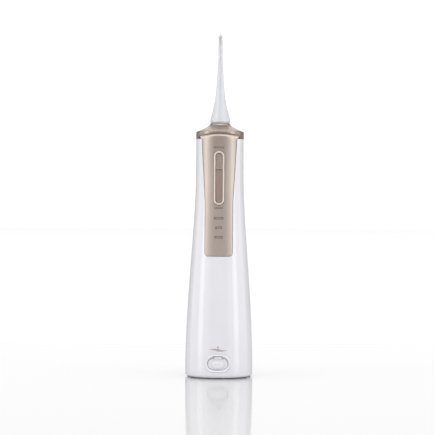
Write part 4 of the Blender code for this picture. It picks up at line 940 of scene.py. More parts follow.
@dataclass
class FillPort(Assembly):
    """The fill port's rounded frame with its seat and filling hole."""

    lip: float = 2.5 * MM
    hole_half_up: float = 3.2 * MM
    gap: float = 0.3 * MM

    def build(self) -> None:
        """Models the frame as one stepped ring, bowed to the body."""
        low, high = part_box("fill_port_frame")
        centre_z = (low.z + high.z) / 2
        half_across = (high.x - low.x) / 2
        half_up = (high.z - low.z) / 2
        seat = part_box("fill_flap")[1].y + self.gap
        bench = pill("port_frame", (0.0, high.y, centre_z), half_across, half_up)
        round_off = 0.5 * MM
        crest = low.y
        bench.extrude((0.0, crest + round_off - high.y, 0.0))
        opening = self.lip - self.gap
        bench.inset([(0.35 * MM, 0.3 * MM), (0.4 * MM, 0.15 * MM), (0.4 * MM, 0.05 * MM),
                     (opening - 2.15 * MM, -0.12 * MM), (0.4 * MM, -0.28 * MM), (0.4 * MM, -0.36 * MM),
                     (0.19 * MM, -0.24 * MM), (0.01 * MM, crest + 1.0 * MM - seat)])
        step = half_up - opening - self.hole_half_up
        bench.inset([(step, 0.0), (0.1 * MM, -0.1 * MM), (0.01 * MM, seat - high.y + 0.1 * MM)])
        ring_of(bench, high.y)
        self.form.bow(bench, centre_z, seat, crest)
        knuckle_low, knuckle_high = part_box("flap_pin")
        slot_half = (knuckle_high.x - knuckle_low.x) / 2 - 2 * MM
        hinge_z = (knuckle_low.z + knuckle_high.z) / 2
        bench.combine([Bench.block("knuckle_slot", (-slot_half, -45 * MM, hinge_z - 2 * MM),
                                   (slot_half, seat - 0.1 * MM, hinge_z + 1.6 * MM))])
        self.place(bench, PLAIN_WHITE, "white_shell", ["fill_port_frame"], 40.0)


@dataclass
class FillFlap(Assembly):
    """The hinged flap with its raised finger pad and knuckle."""

    pad_half_across: float = 5.0 * MM
    pad_half_up: float = 3.0 * MM
    pad_drop: float = 1.2 * MM
    recess: float = 0.8 * MM
    knuckle_radius: float = 1.1 * MM
    knuckle_half_length: float = 3.4 * MM

    def build(self) -> None:
        """Models the flap and its pad."""
        low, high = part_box("fill_flap")
        half_across = (high.x - low.x) / 2
        pin_low, pin_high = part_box("flap_pin")
        hinge = (0.0, (pin_low.y + pin_high.y) / 2, (pin_low.z + pin_high.z) / 2)
        top = hinge[2]
        centre_z = (low.z + top) / 2
        half_up = (top - low.z) / 2
        face = self.form.surface_y(0.0, centre_z) + self.recess
        bench = pill("flap", (0.0, high.y, centre_z), half_across, half_up)
        bench.extrude((0.0, face + 0.35 * MM - high.y, 0.0))
        bench.inset([(0.1 * MM, 0.22 * MM), (0.25 * MM, 0.13 * MM), (0.9 * MM, 0.0), (1.2 * MM, 0.0),
                     (1.3 * MM, 0.0)])
        self.form.bow(bench, centre_z, high.y, face)
        reach = self.knuckle_half_length
        knuckle = Bench.bar("flap_knuckle", (-reach, *hinge[1:]), (reach, *hinge[1:]),
                            self.knuckle_radius, 32)
        bench.combine([knuckle], "UNION")
        bore = Bench.bar("knuckle_bore", (-2 * reach, *hinge[1:]), (2 * reach, *hinge[1:]), 0.7 * MM, 32)
        bench.combine([bore])
        self.place(bench, PLAIN_WHITE, "white_shell", ["fill_flap"], 40.0)
        pad_z = centre_z - self.pad_drop
        pad = pill("flap_pad", (0.0, face + 0.3 * MM, pad_z), self.pad_half_across, self.pad_half_up)
        rise = low.y + 0.05 * MM - face
        pad.extrude((0.0, rise - 0.3 * MM + 0.6 * MM, 0.0))
        pad.inset([(0.12 * MM, 0.3 * MM), (0.3 * MM, 0.2 * MM), (0.6 * MM, 0.08 * MM),
                   (1.0 * MM, 0.02 * MM)])
        self.form.bow(pad, pad_z, face + 0.35 * MM, face)
        self.place(pad, PLAIN_WHITE, "white_shell", (), 40.0)


# ---------------------------------------------------------------- handle: panel, ring, keys, windows
@dataclass
class FrontPanel(Assembly):
    """The champagne panel with the bevel over it, made bright by a painted highlight."""

    half_width: float = 11.7 * MM
    top_half_width: float = 15.0 * MM
    taper_height: float = 55.7 * MM
    corner: float = 3.0 * MM
    proud: float = 0.4 * MM
    thickness: float = 2.0 * MM
    crest_drop: float = 0.2 * MM
    crest_rise: float = 2.6 * MM
    bevel_half_width: float = 17.8 * MM
    bevel_height: float = 2.6 * MM
    bevel_rise: float = 2.2 * MM
    bevel_depth: float = 2.4 * MM
    columns: int = 32
    rows: int = 48
    gap: float = 0.3 * MM

    def __post_init__(self) -> None:
        """Reads the panel's foot and the sleeve's top once, and the heights that hang from them."""
        self.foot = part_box("front_panel")[0].z
        sleeve_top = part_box("tank_shell")[1].z
        self.crest_edge = sleeve_top - self.crest_drop
        self.bevel_edge = self.crest_edge + self.bevel_height
        self.taper_start = sleeve_top - self.taper_height

    def side(self, height: float) -> float:
        """Half the panel's width at a height: straight, then widening to the top."""
        share = max(height - self.taper_start, 0.0) / (self.crest_edge - self.taper_start)
        return self.half_width + (self.top_half_width - self.half_width) * share

    def crest(self, across: float) -> float:
        """Height of the panel's arched top edge."""
        return self.crest_edge + self.crest_rise * (1 - (across / self.top_half_width) ** 2)

    def spot(self, across: float, row: float) -> tuple[float, float]:
        """Where a point of the square sheet lies on the panel.

        Args:
            across: From -1 at one side to 1 at the other.
            row: From 0 at the foot to 1 at the crest.

        Returns:
            Its x and z.
        """
        low = self.foot
        corner_rows = 6 / self.rows
        if row <= corner_rows:
            angle = math.pi / 2 * row / corner_rows
            height = low + self.corner * (1 - math.cos(angle))
            return across * (self.half_width - self.corner * (1 - math.sin(angle))), height
        share = (row - corner_rows) / (1 - corner_rows)
        foot = low + self.corner
        edge = foot + (self.crest_edge - foot) * share
        x = across * self.side(edge)
        return x, foot + (self.crest(x) - foot) * share

    def sheet(self, name: str) -> Bench:
        """A subdivided sheet in the panel's outline, lying on the body's front."""
        Bench.clear()
        bpy.ops.mesh.primitive_grid_add(x_subdivisions=self.columns, y_subdivisions=self.rows, size=2.0)
        bench = Bench(name)
        Bench.clear()
        for vert in bench.piece.data.vertices:
            x, z = self.spot(vert.co.x, (vert.co.y + 1) / 2)
            vert.co = (x, self.form.surface_y(x, z, self.proud), z)
        return bench

    def blank(self, name: str, grow: float) -> Bench:
        """The panel's outline pushed through the body, grown by a clearance and open past its top."""
        low = self.foot - grow
        side = self.half_width + grow
        over = self.crest_edge + 8 * MM
        top_side = self.side(over) + grow
        bench = Bench.block(name, (-side, -50 * MM, low), (side, -10 * MM, over))
        bench.select(Element.FACE, lambda co, normal: normal.z > 0.9)
        bench.move((0.0, 0.0, self.taper_start - over))
        bench.extrude((0.0, 0.0, over - self.taper_start))
        bench.resize((top_side / side, 1.0, 1.0), (0.0, -30 * MM, over))
        bench.select(Element.EDGE, lambda middle, way: abs(way.y) > MM and middle.z < low + MM)
        bpy.ops.mesh.bevel(offset=self.corner + grow, segments=10, affect="EDGES")
        return bench

    def build(self) -> None:
        """Models the panel and its bevel."""
        bench = self.sheet("panel")
        bench.open()
        bpy.ops.mesh.select_all(action="SELECT")
        bpy.ops.mesh.normals_make_consistent(inside=False)
        bench.modifier("SOLIDIFY", {"thickness": self.thickness, "offset": -1.0, "use_even_offset": True})
        bench.combine([self.ring_hole(), *self.window_holes()])
        bench.soften(0.14 * MM, 50.0)
        self.place(bench, PANEL, "champagne", ["front_panel"], 40.0)
        self.bevel()

    def ring_hole(self) -> Bench:
        """The cutter for the key ring's hole."""
        low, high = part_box("key_ring")
        half_across = (high.x - low.x) / 2 + self.gap
        half_up = (high.z - low.z) / 2 + self.gap
        return pill_block("ring_cutter", (low.z + high.z) / 2, half_across, half_up, -40 * MM, -10 * MM)

    def window_holes(self) -> list[Bench]:
        """The cutters for the light guides' holes."""
        cutters = []
        for number in (1, 2, 3):
            low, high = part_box(f"indicator_window_{number}")
            start = (low.x - self.gap, -40 * MM, low.z - self.gap)
            end = (high.x + self.gap, -15 * MM, high.z + self.gap)
            cutters.append(Bench.block(f"window_cutter_{number}", start, end))
        return cutters

    def bevel(self) -> None:
        """Models the bevel that rises behind the panel's arched edge, made bright by a painted highlight."""
        Bench.clear()
        bpy.ops.mesh.primitive_grid_add(x_subdivisions=self.columns, y_subdivisions=6, size=2.0)
        bench = Bench("panel_bevel")
        Bench.clear()
        for vert in bench.piece.data.vertices:
            across, share = vert.co.x, (vert.co.y + 1) / 2
            foot_x = across * self.top_half_width
            foot_z = self.crest(foot_x)
            foot_y = self.form.surface_y(foot_x, foot_z, self.proud)
            head_x = across * self.bevel_half_width
            head_z = self.bevel_edge + self.bevel_rise * (1 - across ** 2)
            head_y = self.form.surface_y(head_x, head_z, self.proud) + self.bevel_depth
            foot, head = Vector((foot_x, foot_y, foot_z)), Vector((head_x, head_y, head_z))
            vert.co = foot.lerp(head, share)
        bench.open()
        bpy.ops.mesh.select_all(action="SELECT")
        bpy.ops.mesh.normals_make_consistent(inside=False)
        bench.modifier("SOLIDIFY", {"thickness": 0.9 * MM, "offset": -1.0})
        # the bevel's light finish is a painted highlight
        self.place(bench, CRESCENT_PAINTED_HIGHLIGHT, "champagne_polished", (), 40.0)


@dataclass
class KeyRing(Assembly):
    """The polished ring around the keys, lightened by a painted highlight."""

    width: float = 1.45 * MM
    rounding: float = 0.3 * MM

    def build(self) -> None:
        """Models the ring with a rounded crest."""
        low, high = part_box("key_ring")
        centre_z = (low.z + high.z) / 2
        bench = pill("ring", (0.0, high.y, centre_z), (high.x - low.x) / 2, (high.z - low.z) / 2)
        bench.extrude((0.0, low.y + self.rounding - high.y, 0.0))
        rise = self.rounding
        bench.inset([(0.06 * MM, 0.5 * rise), (0.16 * MM, 0.35 * rise), (0.25 * MM, 0.15 * rise),
                     (self.width - 0.94 * MM, 0.0), (0.25 * MM, -0.15 * rise), (0.16 * MM, -0.35 * rise),
                     (0.05 * MM, -0.5 * rise), (0.01 * MM, low.y + rise - high.y)])
        ring_of(bench, high.y)
        self.form.bow(bench, centre_z, high.y, low.y)
        self.place(bench, POLISHED_AND_PAINTED_HIGHLIGHT, "champagne_polished", ["key_ring"], 50.0)


@dataclass
class Key(Assembly):
    """One key: a half pill with a flat end at the split, softly rounded and dished near it."""

    node: str = "power_key"
    finish: Finish = POWER
    slot_name: str = "champagne"
    round_end_up: bool = True
    half_across: float = 2.8 * MM
    flange: float = 1.0 * MM
    dish: float = 0.35 * MM

    def build(self) -> None:
        """Models the key's cap, and its flange and stem behind it."""
        low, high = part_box(self.node)
        if self.round_end_up:
            flat, tip = low.z, high.z - self.flange
        else:
            flat, tip = high.z, low.z + self.flange
        across = self.half_across
        direction = math.copysign(1.0, tip - flat)
        centre = tip - direction * across
        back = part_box("key_ring")[1].y + 0.4 * MM
        bench = Bench.disc(self.node + "_cap", (0.0, back, centre), across, 64, Axis.Y)
        bpy.ops.mesh.bisect(plane_co=(0.0, back, centre), plane_no=(0.0, 0.0, -direction),
                            use_fill=False, clear_outer=True)
        rows = 12
        bench.select(Element.EDGE, lambda middle, way: abs(middle.z - centre) < 1e-6)
        for _ in range(rows):
            bench.extrude((0.0, 0.0, (flat - centre) / rows))
        bpy.ops.mesh.select_mode(type="FACE")
        bpy.ops.mesh.select_all(action="SELECT")
        bench.extrude((0.0, low.y + 0.3 * MM - back, 0.0))
        bpy.ops.mesh.inset(thickness=0.1 * MM, depth=0.17 * MM, use_even_offset=True)
        bpy.ops.mesh.inset(thickness=0.2 * MM, depth=0.11 * MM, use_even_offset=True)
        bpy.ops.mesh.inset(thickness=0.35 * MM, depth=0.02 * MM, use_even_offset=True)
        self.shape_face(bench, flat, direction)
        flange_z = sorted((flat, tip + direction * self.flange))
        plate = Bench.block("flange", (-across - self.flange, back - 0.1 * MM, flange_z[0]),
                            (across + self.flange, back + 0.7 * MM, flange_z[1]))
        plate.select(Element.EDGE, lambda middle, way: abs(way.y) > 0.5 * MM
                     and abs(middle.z - tip - direction * self.flange) < 1e-6)
        bpy.ops.mesh.bevel(offset=across + self.flange - 0.01 * MM, segments=10, affect="EDGES")
        bench.combine([plate], "UNION")
        stem_z = (flat + tip) / 2
        stem = Bench.bar("stem", (0.0, back, stem_z), (0.0, high.y, stem_z), 1.1 * MM, 24)
        bench.combine([stem], "UNION")
        self.place(bench, self.finish, self.slot_name, [self.node], 40.0)

    def shape_face(self, bench: Bench, flat: float, direction: float) -> None:
        """Bows the key's face to the body and sinks a finger dish beside the split."""
        Bench.clear()
        dish_centre = flat + direction * 5.0 * MM
        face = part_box(self.node)[0].y
        for vert in bench.piece.data.vertices:
            here = self.form.surface_y(vert.co.x, vert.co.z)
            vert.co.y += here - self.form.surface_y(0.0, vert.co.z)
            away = math.hypot(vert.co.x / (2.2 * MM), (vert.co.z - dish_centre) / (4.2 * MM))
            if away < 1.0 and vert.co.y < face + 0.6 * MM:
                vert.co.y += self.dish * (1 - away ** 2)


@dataclass
class Indicators(Assembly):
    """The three light guides in the panel."""

    def build(self) -> None:
        """Models each guide with rounded ends."""
        for number in (1, 2, 3):
            node = f"indicator_window_{number}"
            low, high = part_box(node)
            bench = Bench.block(f"guide_{number}", low, high)
            bench.select(Element.EDGE, lambda middle, way: abs(way.y) > MM)
            bpy.ops.mesh.bevel(offset=0.45 * MM, segments=5, affect="EDGES")
            bench.select(Element.FACE, lambda co, normal: normal.y < -0.9)
            bench.inset([(0.12 * MM, 0.0)])
            self.place(bench, GUIDE, "lamp", [node], 40.0)


# ---------------------------------------------------------------- handle: cap, back and core
@dataclass
class TopCap(Assembly):
    """The dark champagne cap that sweeps up to the neck."""

    rim_height: float = 5.4 * MM
    neck_radius: float = 8.7 * MM
    wall: float = 2.0 * MM
    roof: float = 0.9 * MM
    rounding: float = 0.4 * MM
    curve: float = 0.48
    gap: float = 0.3 * MM
    cut_gap: float = 0.08 * MM
    rows: int = 14

    def build(self) -> None:
        """Models the cap and cuts its hollow, its arch and its button window."""
        low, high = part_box("top_cap")
        rim_top = low.z + self.rim_height
        width = (high.x - low.x) / 2
        depth_share = (high.y - low.y) / 2 - width
        bench = Bench.oval("cap", self.form, width, width + depth_share, low.z)
        stations = [(rim_top - 0.2 * MM, width), (rim_top + 0.25 * MM, width - 0.06 * MM),
                    (rim_top + 0.6 * MM, width - 0.17 * MM), (rim_top + 0.9 * MM, width - 0.35 * MM)]
        shoulder_z, shoulder = stations[-1]
        for row in range(1, self.rows + 1):
            angle = math.pi / 2 * row / self.rows
            rise = (high.z - shoulder_z) * (1 - math.cos(angle)) ** self.curve
            reach = self.neck_radius + (shoulder - self.neck_radius) * (1 - math.sin(angle))
            stations.append((shoulder_z + rise, reach))
        at_z, at = low.z, (width, width + depth_share)
        for height, reach in stations:
            share = (reach - self.neck_radius) / (width - self.neck_radius)
            now = (reach, reach + share * depth_share)
            bench.extrude((0.0, 0.0, height - at_z))
            bench.resize((now[0] / at[0], now[1] / at[1], 1.0), (0.0, 0.0, height))
            at_z, at = height, now
        self.round_neck(bench, width)
        hollow = Bench.oval("cap_hollow", self.form, width - self.wall, width + depth_share - self.wall,
                            low.z - 3 * MM)
        hollow.extrude((0.0, 0.0, rim_top - self.roof + 3 * MM - low.z))
        hole = Bench.bar("socket_hole", (0.0, 0.0, low.z), (0.0, 0.0, high.z + 5 * MM), 6.3 * MM, 64)
        button_low, button_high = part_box("release_button")
        window = Bench.block("button_window", (button_low.x - self.gap, 15 * MM, low.z - 3 * MM),
                             (button_high.x + self.gap, 40 * MM, button_high.z + self.gap))
        bench.combine([hollow, hole, self.arch(low.z), window])
        bench.soften(0.2 * MM, 50.0)
        self.place(bench, CAP, "champagne", ["top_cap"], 40.0)

    def round_neck(self, bench: Bench, width: float) -> None:
        """Turns the rounded-oval sections into circles towards the neck."""
        Bench.clear()
        for vert in bench.piece.data.vertices:
            reach = math.hypot(vert.co.x, vert.co.y)
            if reach < 1e-6:
                continue
            power = self.form.power
            section = (abs(vert.co.x) ** power + abs(vert.co.y) ** power) ** (1 / power)
            share = 1 - min(max((section - self.neck_radius) / (width - self.neck_radius), 0.0), 1.0)
            factor = 1 + share * (section / reach - 1)
            vert.co.x *= factor
            vert.co.y *= factor

    def arch(self, cap_bottom: float) -> Bench:
        """The cutter under the cap's arched front edge."""
        panel = FrontPanel(self.form, self.wardrobe, self.body)
        Bench.clear()
        bpy.ops.mesh.primitive_grid_add(x_subdivisions=32, y_subdivisions=1, size=2.0)
        bench = Bench("arch_cutter")
        Bench.clear()
        for vert in bench.piece.data.vertices:
            across, top = vert.co.x, vert.co.y > 0
            arched = panel.bevel_edge + panel.bevel_rise * (1 - across ** 2) + self.cut_gap
            height = arched if top else cap_bottom - 5 * MM
            vert.co = (across * (panel.bevel_half_width + self.cut_gap), -11 * MM, height)
        bench.open()
        bpy.ops.mesh.select_all(action="SELECT")
        bench.extrude((0.0, -29 * MM, 0.0))
        return bench


@dataclass
class RearDetails(Assembly):
    """The rear tongue with the charging inlet's recess."""

    gap: float = 0.3 * MM

    def build(self) -> None:
        """Models the tongue."""
        low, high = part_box("rear_tongue")
        cover_low, cover_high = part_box("charge_cover")
        inlet_low, inlet_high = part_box("charge_socket")
        bench = Bench.block("tongue", low, (high.x, high.y + 6 * MM, high.z))
        bench.select(Element.EDGE, lambda middle, way: abs(way.y) > MM)
        bpy.ops.mesh.bevel(offset=1.7 * MM, segments=8, affect="EDGES")
        rows = [low.z - 9 * MM + (high.z - low.z + 18 * MM) * row / 4 for row in range(5)]
        bench.combine([self.form.tower("tongue_trim", rows, lambda height: 0.0)], "INTERSECT")
        start = (cover_low.x - self.gap, cover_high.y - 1.3 * MM, cover_low.z - self.gap)
        end = (cover_high.x + self.gap, 50 * MM, cover_high.z + self.gap)
        recess = Bench.block("cover_recess", start, end)
        recess.select(Element.EDGE, lambda middle, way: abs(way.y) > MM)
        bpy.ops.mesh.bevel(offset=1.6 * MM, segments=8, affect="EDGES")
        mouth = Bench.block("inlet_mouth", (inlet_low.x - self.gap, 10 * MM, inlet_low.z - self.gap),
                            (inlet_high.x + self.gap, 50 * MM, inlet_high.z + self.gap))
        bench.combine([recess, mouth])
        bench.soften(0.15 * MM, 50.0)
        self.place(bench, PLAIN_WHITE, "white_shell", ["rear_tongue"], 40.0)


@dataclass
class ChargeCover(Assembly):
    """The soft cover over the charging inlet, with its plug and a finger groove."""

    def build(self) -> None:
        """Models the cover."""
        low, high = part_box("charge_cover")
        back = high.y - 1.0 * MM
        bench = Bench.block("cover", (low.x, back, low.z), (high.x, high.y, high.z))
        bench.select(Element.EDGE, lambda middle, way: abs(way.y) > 0.5 * MM)
        bpy.ops.mesh.bevel(offset=1.3 * MM, segments=8, affect="EDGES")
        bench.select(Element.FACE, lambda co, normal: normal.y > 0.9)
        bench.move((0.0, -0.35 * MM, 0.0))
        bench.inset([(0.12 * MM, 0.2 * MM), (0.3 * MM, 0.15 * MM), (0.8 * MM, 0.0), (0.25 * MM, -0.2 * MM)])
        middle = (low.z + high.z) / 2
        plug = Bench.block("cover_plug", (-3.3 * MM, low.y, middle - MM),
                           (3.3 * MM, back + 0.2 * MM, middle + MM))
        plug.select(Element.EDGE, lambda centre, way: abs(way.y) > 0.5 * MM)
        bpy.ops.mesh.bevel(offset=0.9 * MM, segments=6, affect="EDGES")
        bench.combine([plug], "UNION")
        self.place(bench, SILICONE, "silicone", ["charge_cover"], 40.0)


@dataclass
class ReleaseButton(Assembly):
    """The nozzle's release button, with grip ribs."""

    ribs: int = 3

    def build(self) -> None:
        """Models the button."""
        low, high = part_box("release_button")
        bench = Bench.block("button", low, high)
        bench.soften(0.5 * MM, 60.0, 4)
        grooves = []
        pitch = (high.z - low.z) / (self.ribs + 1)
        for number in range(1, self.ribs + 1):
            height = low.z + pitch * number
            grooves.append(Bench.bar(f"groove_{number}", (low.x + 0.8 * MM, high.y + 0.12 * MM, height),
                                     (high.x - 0.8 * MM, high.y + 0.12 * MM, height), 0.3 * MM, 24))
        bench.combine(grooves)
        self.place(bench, CAP, "champagne", ["release_button"], 40.0)


@dataclass
class HandleCore(Assembly):
    """The dry capsule inside the sleeve, seen when the handle is lifted out."""

    wall: float = 1.6 * MM
    shoulder_round: float = 0.8 * MM
    gap: float = 0.3 * MM

    def build(self) -> None:
        """Models the capsule and its bottom cap."""
        low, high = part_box("handle_core")
        foot_low, foot_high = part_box("bottom_cap")
        wide = (high.x, high.y)
        slim = (foot_high.x, foot_high.y)
        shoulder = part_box("collar_gasket")[1].z + self.gap
        bench = Bench.oval("core", self.form, *slim, low.z)
        bench.extrude((0.0, 0.0, shoulder - low.z))
        bench.extrude((0.0, 0.0, 0.0))
        step = self.shoulder_round
        bench.resize(((wide[0] - step) / slim[0], (wide[1] - step) / slim[1], 1.0), (0.0, 0.0, shoulder))
        bench.extrude((0.0, 0.0, step))
        grow = (wide[0] / (wide[0] - step), wide[1] / (wide[1] - step), 1.0)
        bench.resize(grow, (0.0, 0.0, shoulder + step))
        bench.extrude((0.0, 0.0, high.z - shoulder - step))
        inner = self.wall
        hollow = Bench.oval("hollow", self.form, slim[0] - inner, slim[1] - inner, low.z - 5 * MM)
        hollow.extrude((0.0, 0.0, shoulder + inner + 5 * MM - low.z))
        hollow.extrude((0.0, 0.0, 0.0))
        hollow.resize(((wide[0] - inner) / (slim[0] - inner), (wide[1] - inner) / (slim[1] - inner), 1.0),
                      (0.0, 0.0, shoulder + inner))
        hollow.extrude((0.0, 0.0, high.z - shoulder + 5 * MM))
        bench.combine([hollow, self.window("panel_carrier", -40 * MM, -10 * MM),
                       self.window("charge_socket", 10 * MM, 40 * MM)])
        self.place(bench, INNER, "inner_plastic", ["handle_core"], 40.0)
        self.bottom(foot_low, foot_high, slim)

    def window(self, node: str, low_y: float, high_y: float) -> Bench:
        """A cutter round one of the nodes that passes through the capsule's wall."""
        low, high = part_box(node)
        return Bench.block(node + "_cutter", (low.x - self.gap, low_y, low.z - self.gap),
                           (high.x + self.gap, high_y, high.z + self.gap))

    def bottom(self, low: Vector, high: Vector, slim: tuple[float, float]) -> None:
        """Models the bottom cap with its rounded edge, plug and suction spigot."""
        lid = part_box("handle_core")[0].z - self.gap
        floor = lid - 1.7 * MM
        tuck = 0.5 * MM
        bench = Bench.oval("core_bottom", self.form, slim[0] - tuck, slim[1] - tuck, floor)
        bench.extrude((0.0, 0.0, tuck))
        grow = (slim[0] / (slim[0] - tuck), slim[1] / (slim[1] - tuck), 1.0)
        bench.resize(grow, (0.0, 0.0, floor + tuck))
        bench.extrude((0.0, 0.0, lid - floor - tuck))
        bench.inset([(2.0 * MM, 0.0)])
        bench.extrude((0.0, 0.0, high.z - lid))
        hose_radius = 1.8 * MM
        hose_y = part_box("intake_hose")[1].y - hose_radius
        spigot = Bench.bar("spigot", (0.0, hose_y, low.z), (0.0, hose_y, floor + MM), 1.6 * MM, 32)
        bench.combine([spigot], "UNION")
        bore = Bench.bar("bore", (0.0, hose_y, 20 * MM), (0.0, hose_y, 45 * MM), 0.9 * MM, 24)
        bench.combine([bore])
        self.place(bench, INNER, "inner_plastic", ["bottom_cap"], 40.0)


# ---------------------------------------------------------------- nozzle
@dataclass
class Socket(Assembly):
    """The turning socket with the flange under the nozzle."""

    bore: float = 3.9 * MM
    radius: float = 6.0 * MM
    flange_radius: float = 8.3 * MM
    flange: float = 0.8 * MM
    stop_radius: float = 7.5 * MM

    def build(self) -> None:
        """Models the socket from a disc pulled up through its steps."""
        low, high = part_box("nozzle_socket")
        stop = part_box("top_cap")[0].z + 2.2 * MM
        stations = [(stop, self.radius), (stop, self.stop_radius), (stop + 1.6 * MM, self.stop_radius),
                    (stop + 1.6 * MM, self.radius), (high.z - self.flange, self.radius),
                    (high.z - self.flange, self.flange_radius - 0.2 * MM),
                    (high.z - self.flange + 0.2 * MM, self.flange_radius),
                    (high.z - 0.2 * MM, self.flange_radius), (high.z, self.flange_radius - 0.2 * MM)]
        bench = Bench.disc("socket", (0.0, 0.0, low.z), self.radius, 64)
        at_z, at = low.z, self.radius
        for height, reach in stations:
            bench.extrude((0.0, 0.0, height - at_z))
            bench.resize((reach / at, reach / at, 1.0), (0.0, 0.0, height))
            at_z, at = height, reach
        bench.combine([Bench.bar("bore", (0.0, 0.0, low.z - MM), (0.0, 0.0, high.z + MM), self.bore, 48)])
        self.place(bench, INNER, "inner_plastic", ["nozzle_socket"], 40.0)


@dataclass
class Nozzle(Assembly):
    """The flared cone, slim neck and bent tip, with the water channel through them."""

    stem_radius: float = 3.55 * MM
    stem_length: float = 24.8 * MM
    base_radius: float = 8.9 * MM
    bend: float = math.radians(45)
    bend_radius: float = 9.0 * MM
    run: float = 3.5 * MM
    length: float = 75.0 * MM
    tip_radius: float = 1.55 * MM
    cone: Steps = ((0.25, 8.9), (1.0, 8.84), (2.8, 8.45), (5.8, 7.65), (8.9, 6.85), (12.3, 6.0),
                   (15.9, 5.26), (19.3, 4.62), (22.8, 4.08), (26.2, 3.72), (29.8, 3.44), (34.5, 3.16),
                   (39.0, 2.88), (44.0, 2.5), (49.0, 2.14), (54.5, 1.9))
    bend_rows: int = 10

    def build(self) -> None:
        """Models the nozzle and bores its channel."""
        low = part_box("nozzle")[0].z
        base = low + self.stem_length
        seal_low, seal_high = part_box("nozzle_seal")
        seal = (seal_low.z + seal_high.z) / 2
        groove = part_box("latch_plate")[0].z - 0.3 * MM
        groove_top = groove + 2.8 * MM
        stem = self.stem_radius
        stations = [(low + 0.5 * MM, stem), (seal - 0.85 * MM, stem), (seal - 0.85 * MM, 2.6 * MM),
                    (seal + 0.85 * MM, 2.6 * MM), (seal + 0.85 * MM, stem), (groove, stem),
                    (groove, 2.8 * MM), (groove_top, 2.8 * MM), (groove_top, stem), (base, stem),
                    (base, self.base_radius - 0.25 * MM)]
        stations += [(base + height * MM, radius * MM) for height, radius in self.cone]
        bench = self.column("spray_nozzle", low, stem - 0.4 * MM, stations, base, 1.85 * MM, self.tip_radius)
        channel = self.column("channel", low - MM, 1.5 * MM, [(base + 20 * MM, 1.2 * MM)], base,
                              0.7 * MM, 0.5 * MM, 0.5 * MM)
        bench.combine([channel])
        self.place(bench, NOZZLE, "nozzle_clear", ["nozzle"], 40.0)

    def column(self, name: str, low: float, radius: float, stations: Steps, base: float, neck: float,
               tip: float, over: float = 0.0) -> Bench:
        """Pulls a disc up through its stations, round the bend and out to the tip.

        Args:
            name: The piece's name.
            low: Where it starts.
            radius: Its radius there.
            stations: Heights and radii on the way up.
            base: The height of the cone's base.
            neck: Its radius where the bend starts.
            tip: Its radius at the tip.
            over: How far it runs past the tip.

        Returns:
            The open mesh.
        """
        bent_height = self.bend_radius * math.sin(self.bend) + self.run * math.cos(self.bend)
        straight = base + self.length - bent_height
        bench = Bench.disc(name, (0.0, 0.0, low), radius, 48)
        at_z, at = low, radius
        for height, reach in [*stations, (straight, neck)]:
            bench.extrude((0.0, 0.0, height - at_z))
            bench.resize((reach / at, reach / at, 1.0), (0.0, 0.0, height))
            at_z, at = height, reach
        pivot = (0.0, -self.bend_radius, straight)
        for row in range(1, self.bend_rows + 1):
            angle = self.bend * row / self.bend_rows
            bench.extrude((0.0, 0.0, 0.0))
            bench.rotate(self.bend / self.bend_rows, Axis.X, pivot)
            here = (0.0, -self.bend_radius * (1 - math.cos(angle)),
                    straight + self.bend_radius * math.sin(angle))
            shrink = 1 - 0.012 * (1 if neck > MM else 0)
            bench.resize((shrink,) * 3, here)
            at *= shrink
        way = Vector((0.0, -math.sin(self.bend), math.cos(self.bend)))
        end = Vector(here) + way * (self.run + over)
        rounding = 0.25 * MM if neck > MM else 0.0
        bench.extrude(way * (self.run + over - rounding))
        bench.resize(((tip + rounding * 0.6) / at,) * 3, end - way * rounding)
        if rounding:
            bench.extrude(way * rounding)
            bench.resize((tip / (tip + rounding * 0.6),) * 3, end)
        return bench


# ---------------------------------------------------------------- carried-over nodes
CARRIED: dict[str, Finish] = {
    "tank_collar": INNER, "collar_gasket": SILICONE, "base_plate": PLAIN_WHITE, "foot_ring": SILICONE,
    "flap_pin": STEEL, "fill_plug": SILICONE, "panel_carrier": INNER, "indicator_led_1": LAMP,
    "indicator_led_2": LAMP, "indicator_led_3": LAMP, "control_board": BOARD, "power_switch": BLACK,
    "mode_switch": BLACK, "nozzle_seal": RUBBER, "outlet_block": INNER, "latch_plate": STEEL,
    "release_spring": STEEL, "charge_socket": STEEL, "battery": WRAP, "battery_cradle": ACETAL,
    "motor": STEEL, "motor_shaft": STEEL, "motor_pinion": STEEL, "drive_gear": ACETAL,
    "gear_axle": STEEL, "crank_pin": STEEL,
    "connecting_rod": ACETAL, "pump_frame": ACETAL, "pump_cylinder": ACETAL, "piston": ACETAL,
    "piston_seal": RUBBER, "wrist_pin": STEEL, "valve_head": ACETAL, "suction_tube": SILICONE,
    "pressure_tube": SILICONE, "intake_hose": SILICONE, "intake_strainer": STEEL,
}


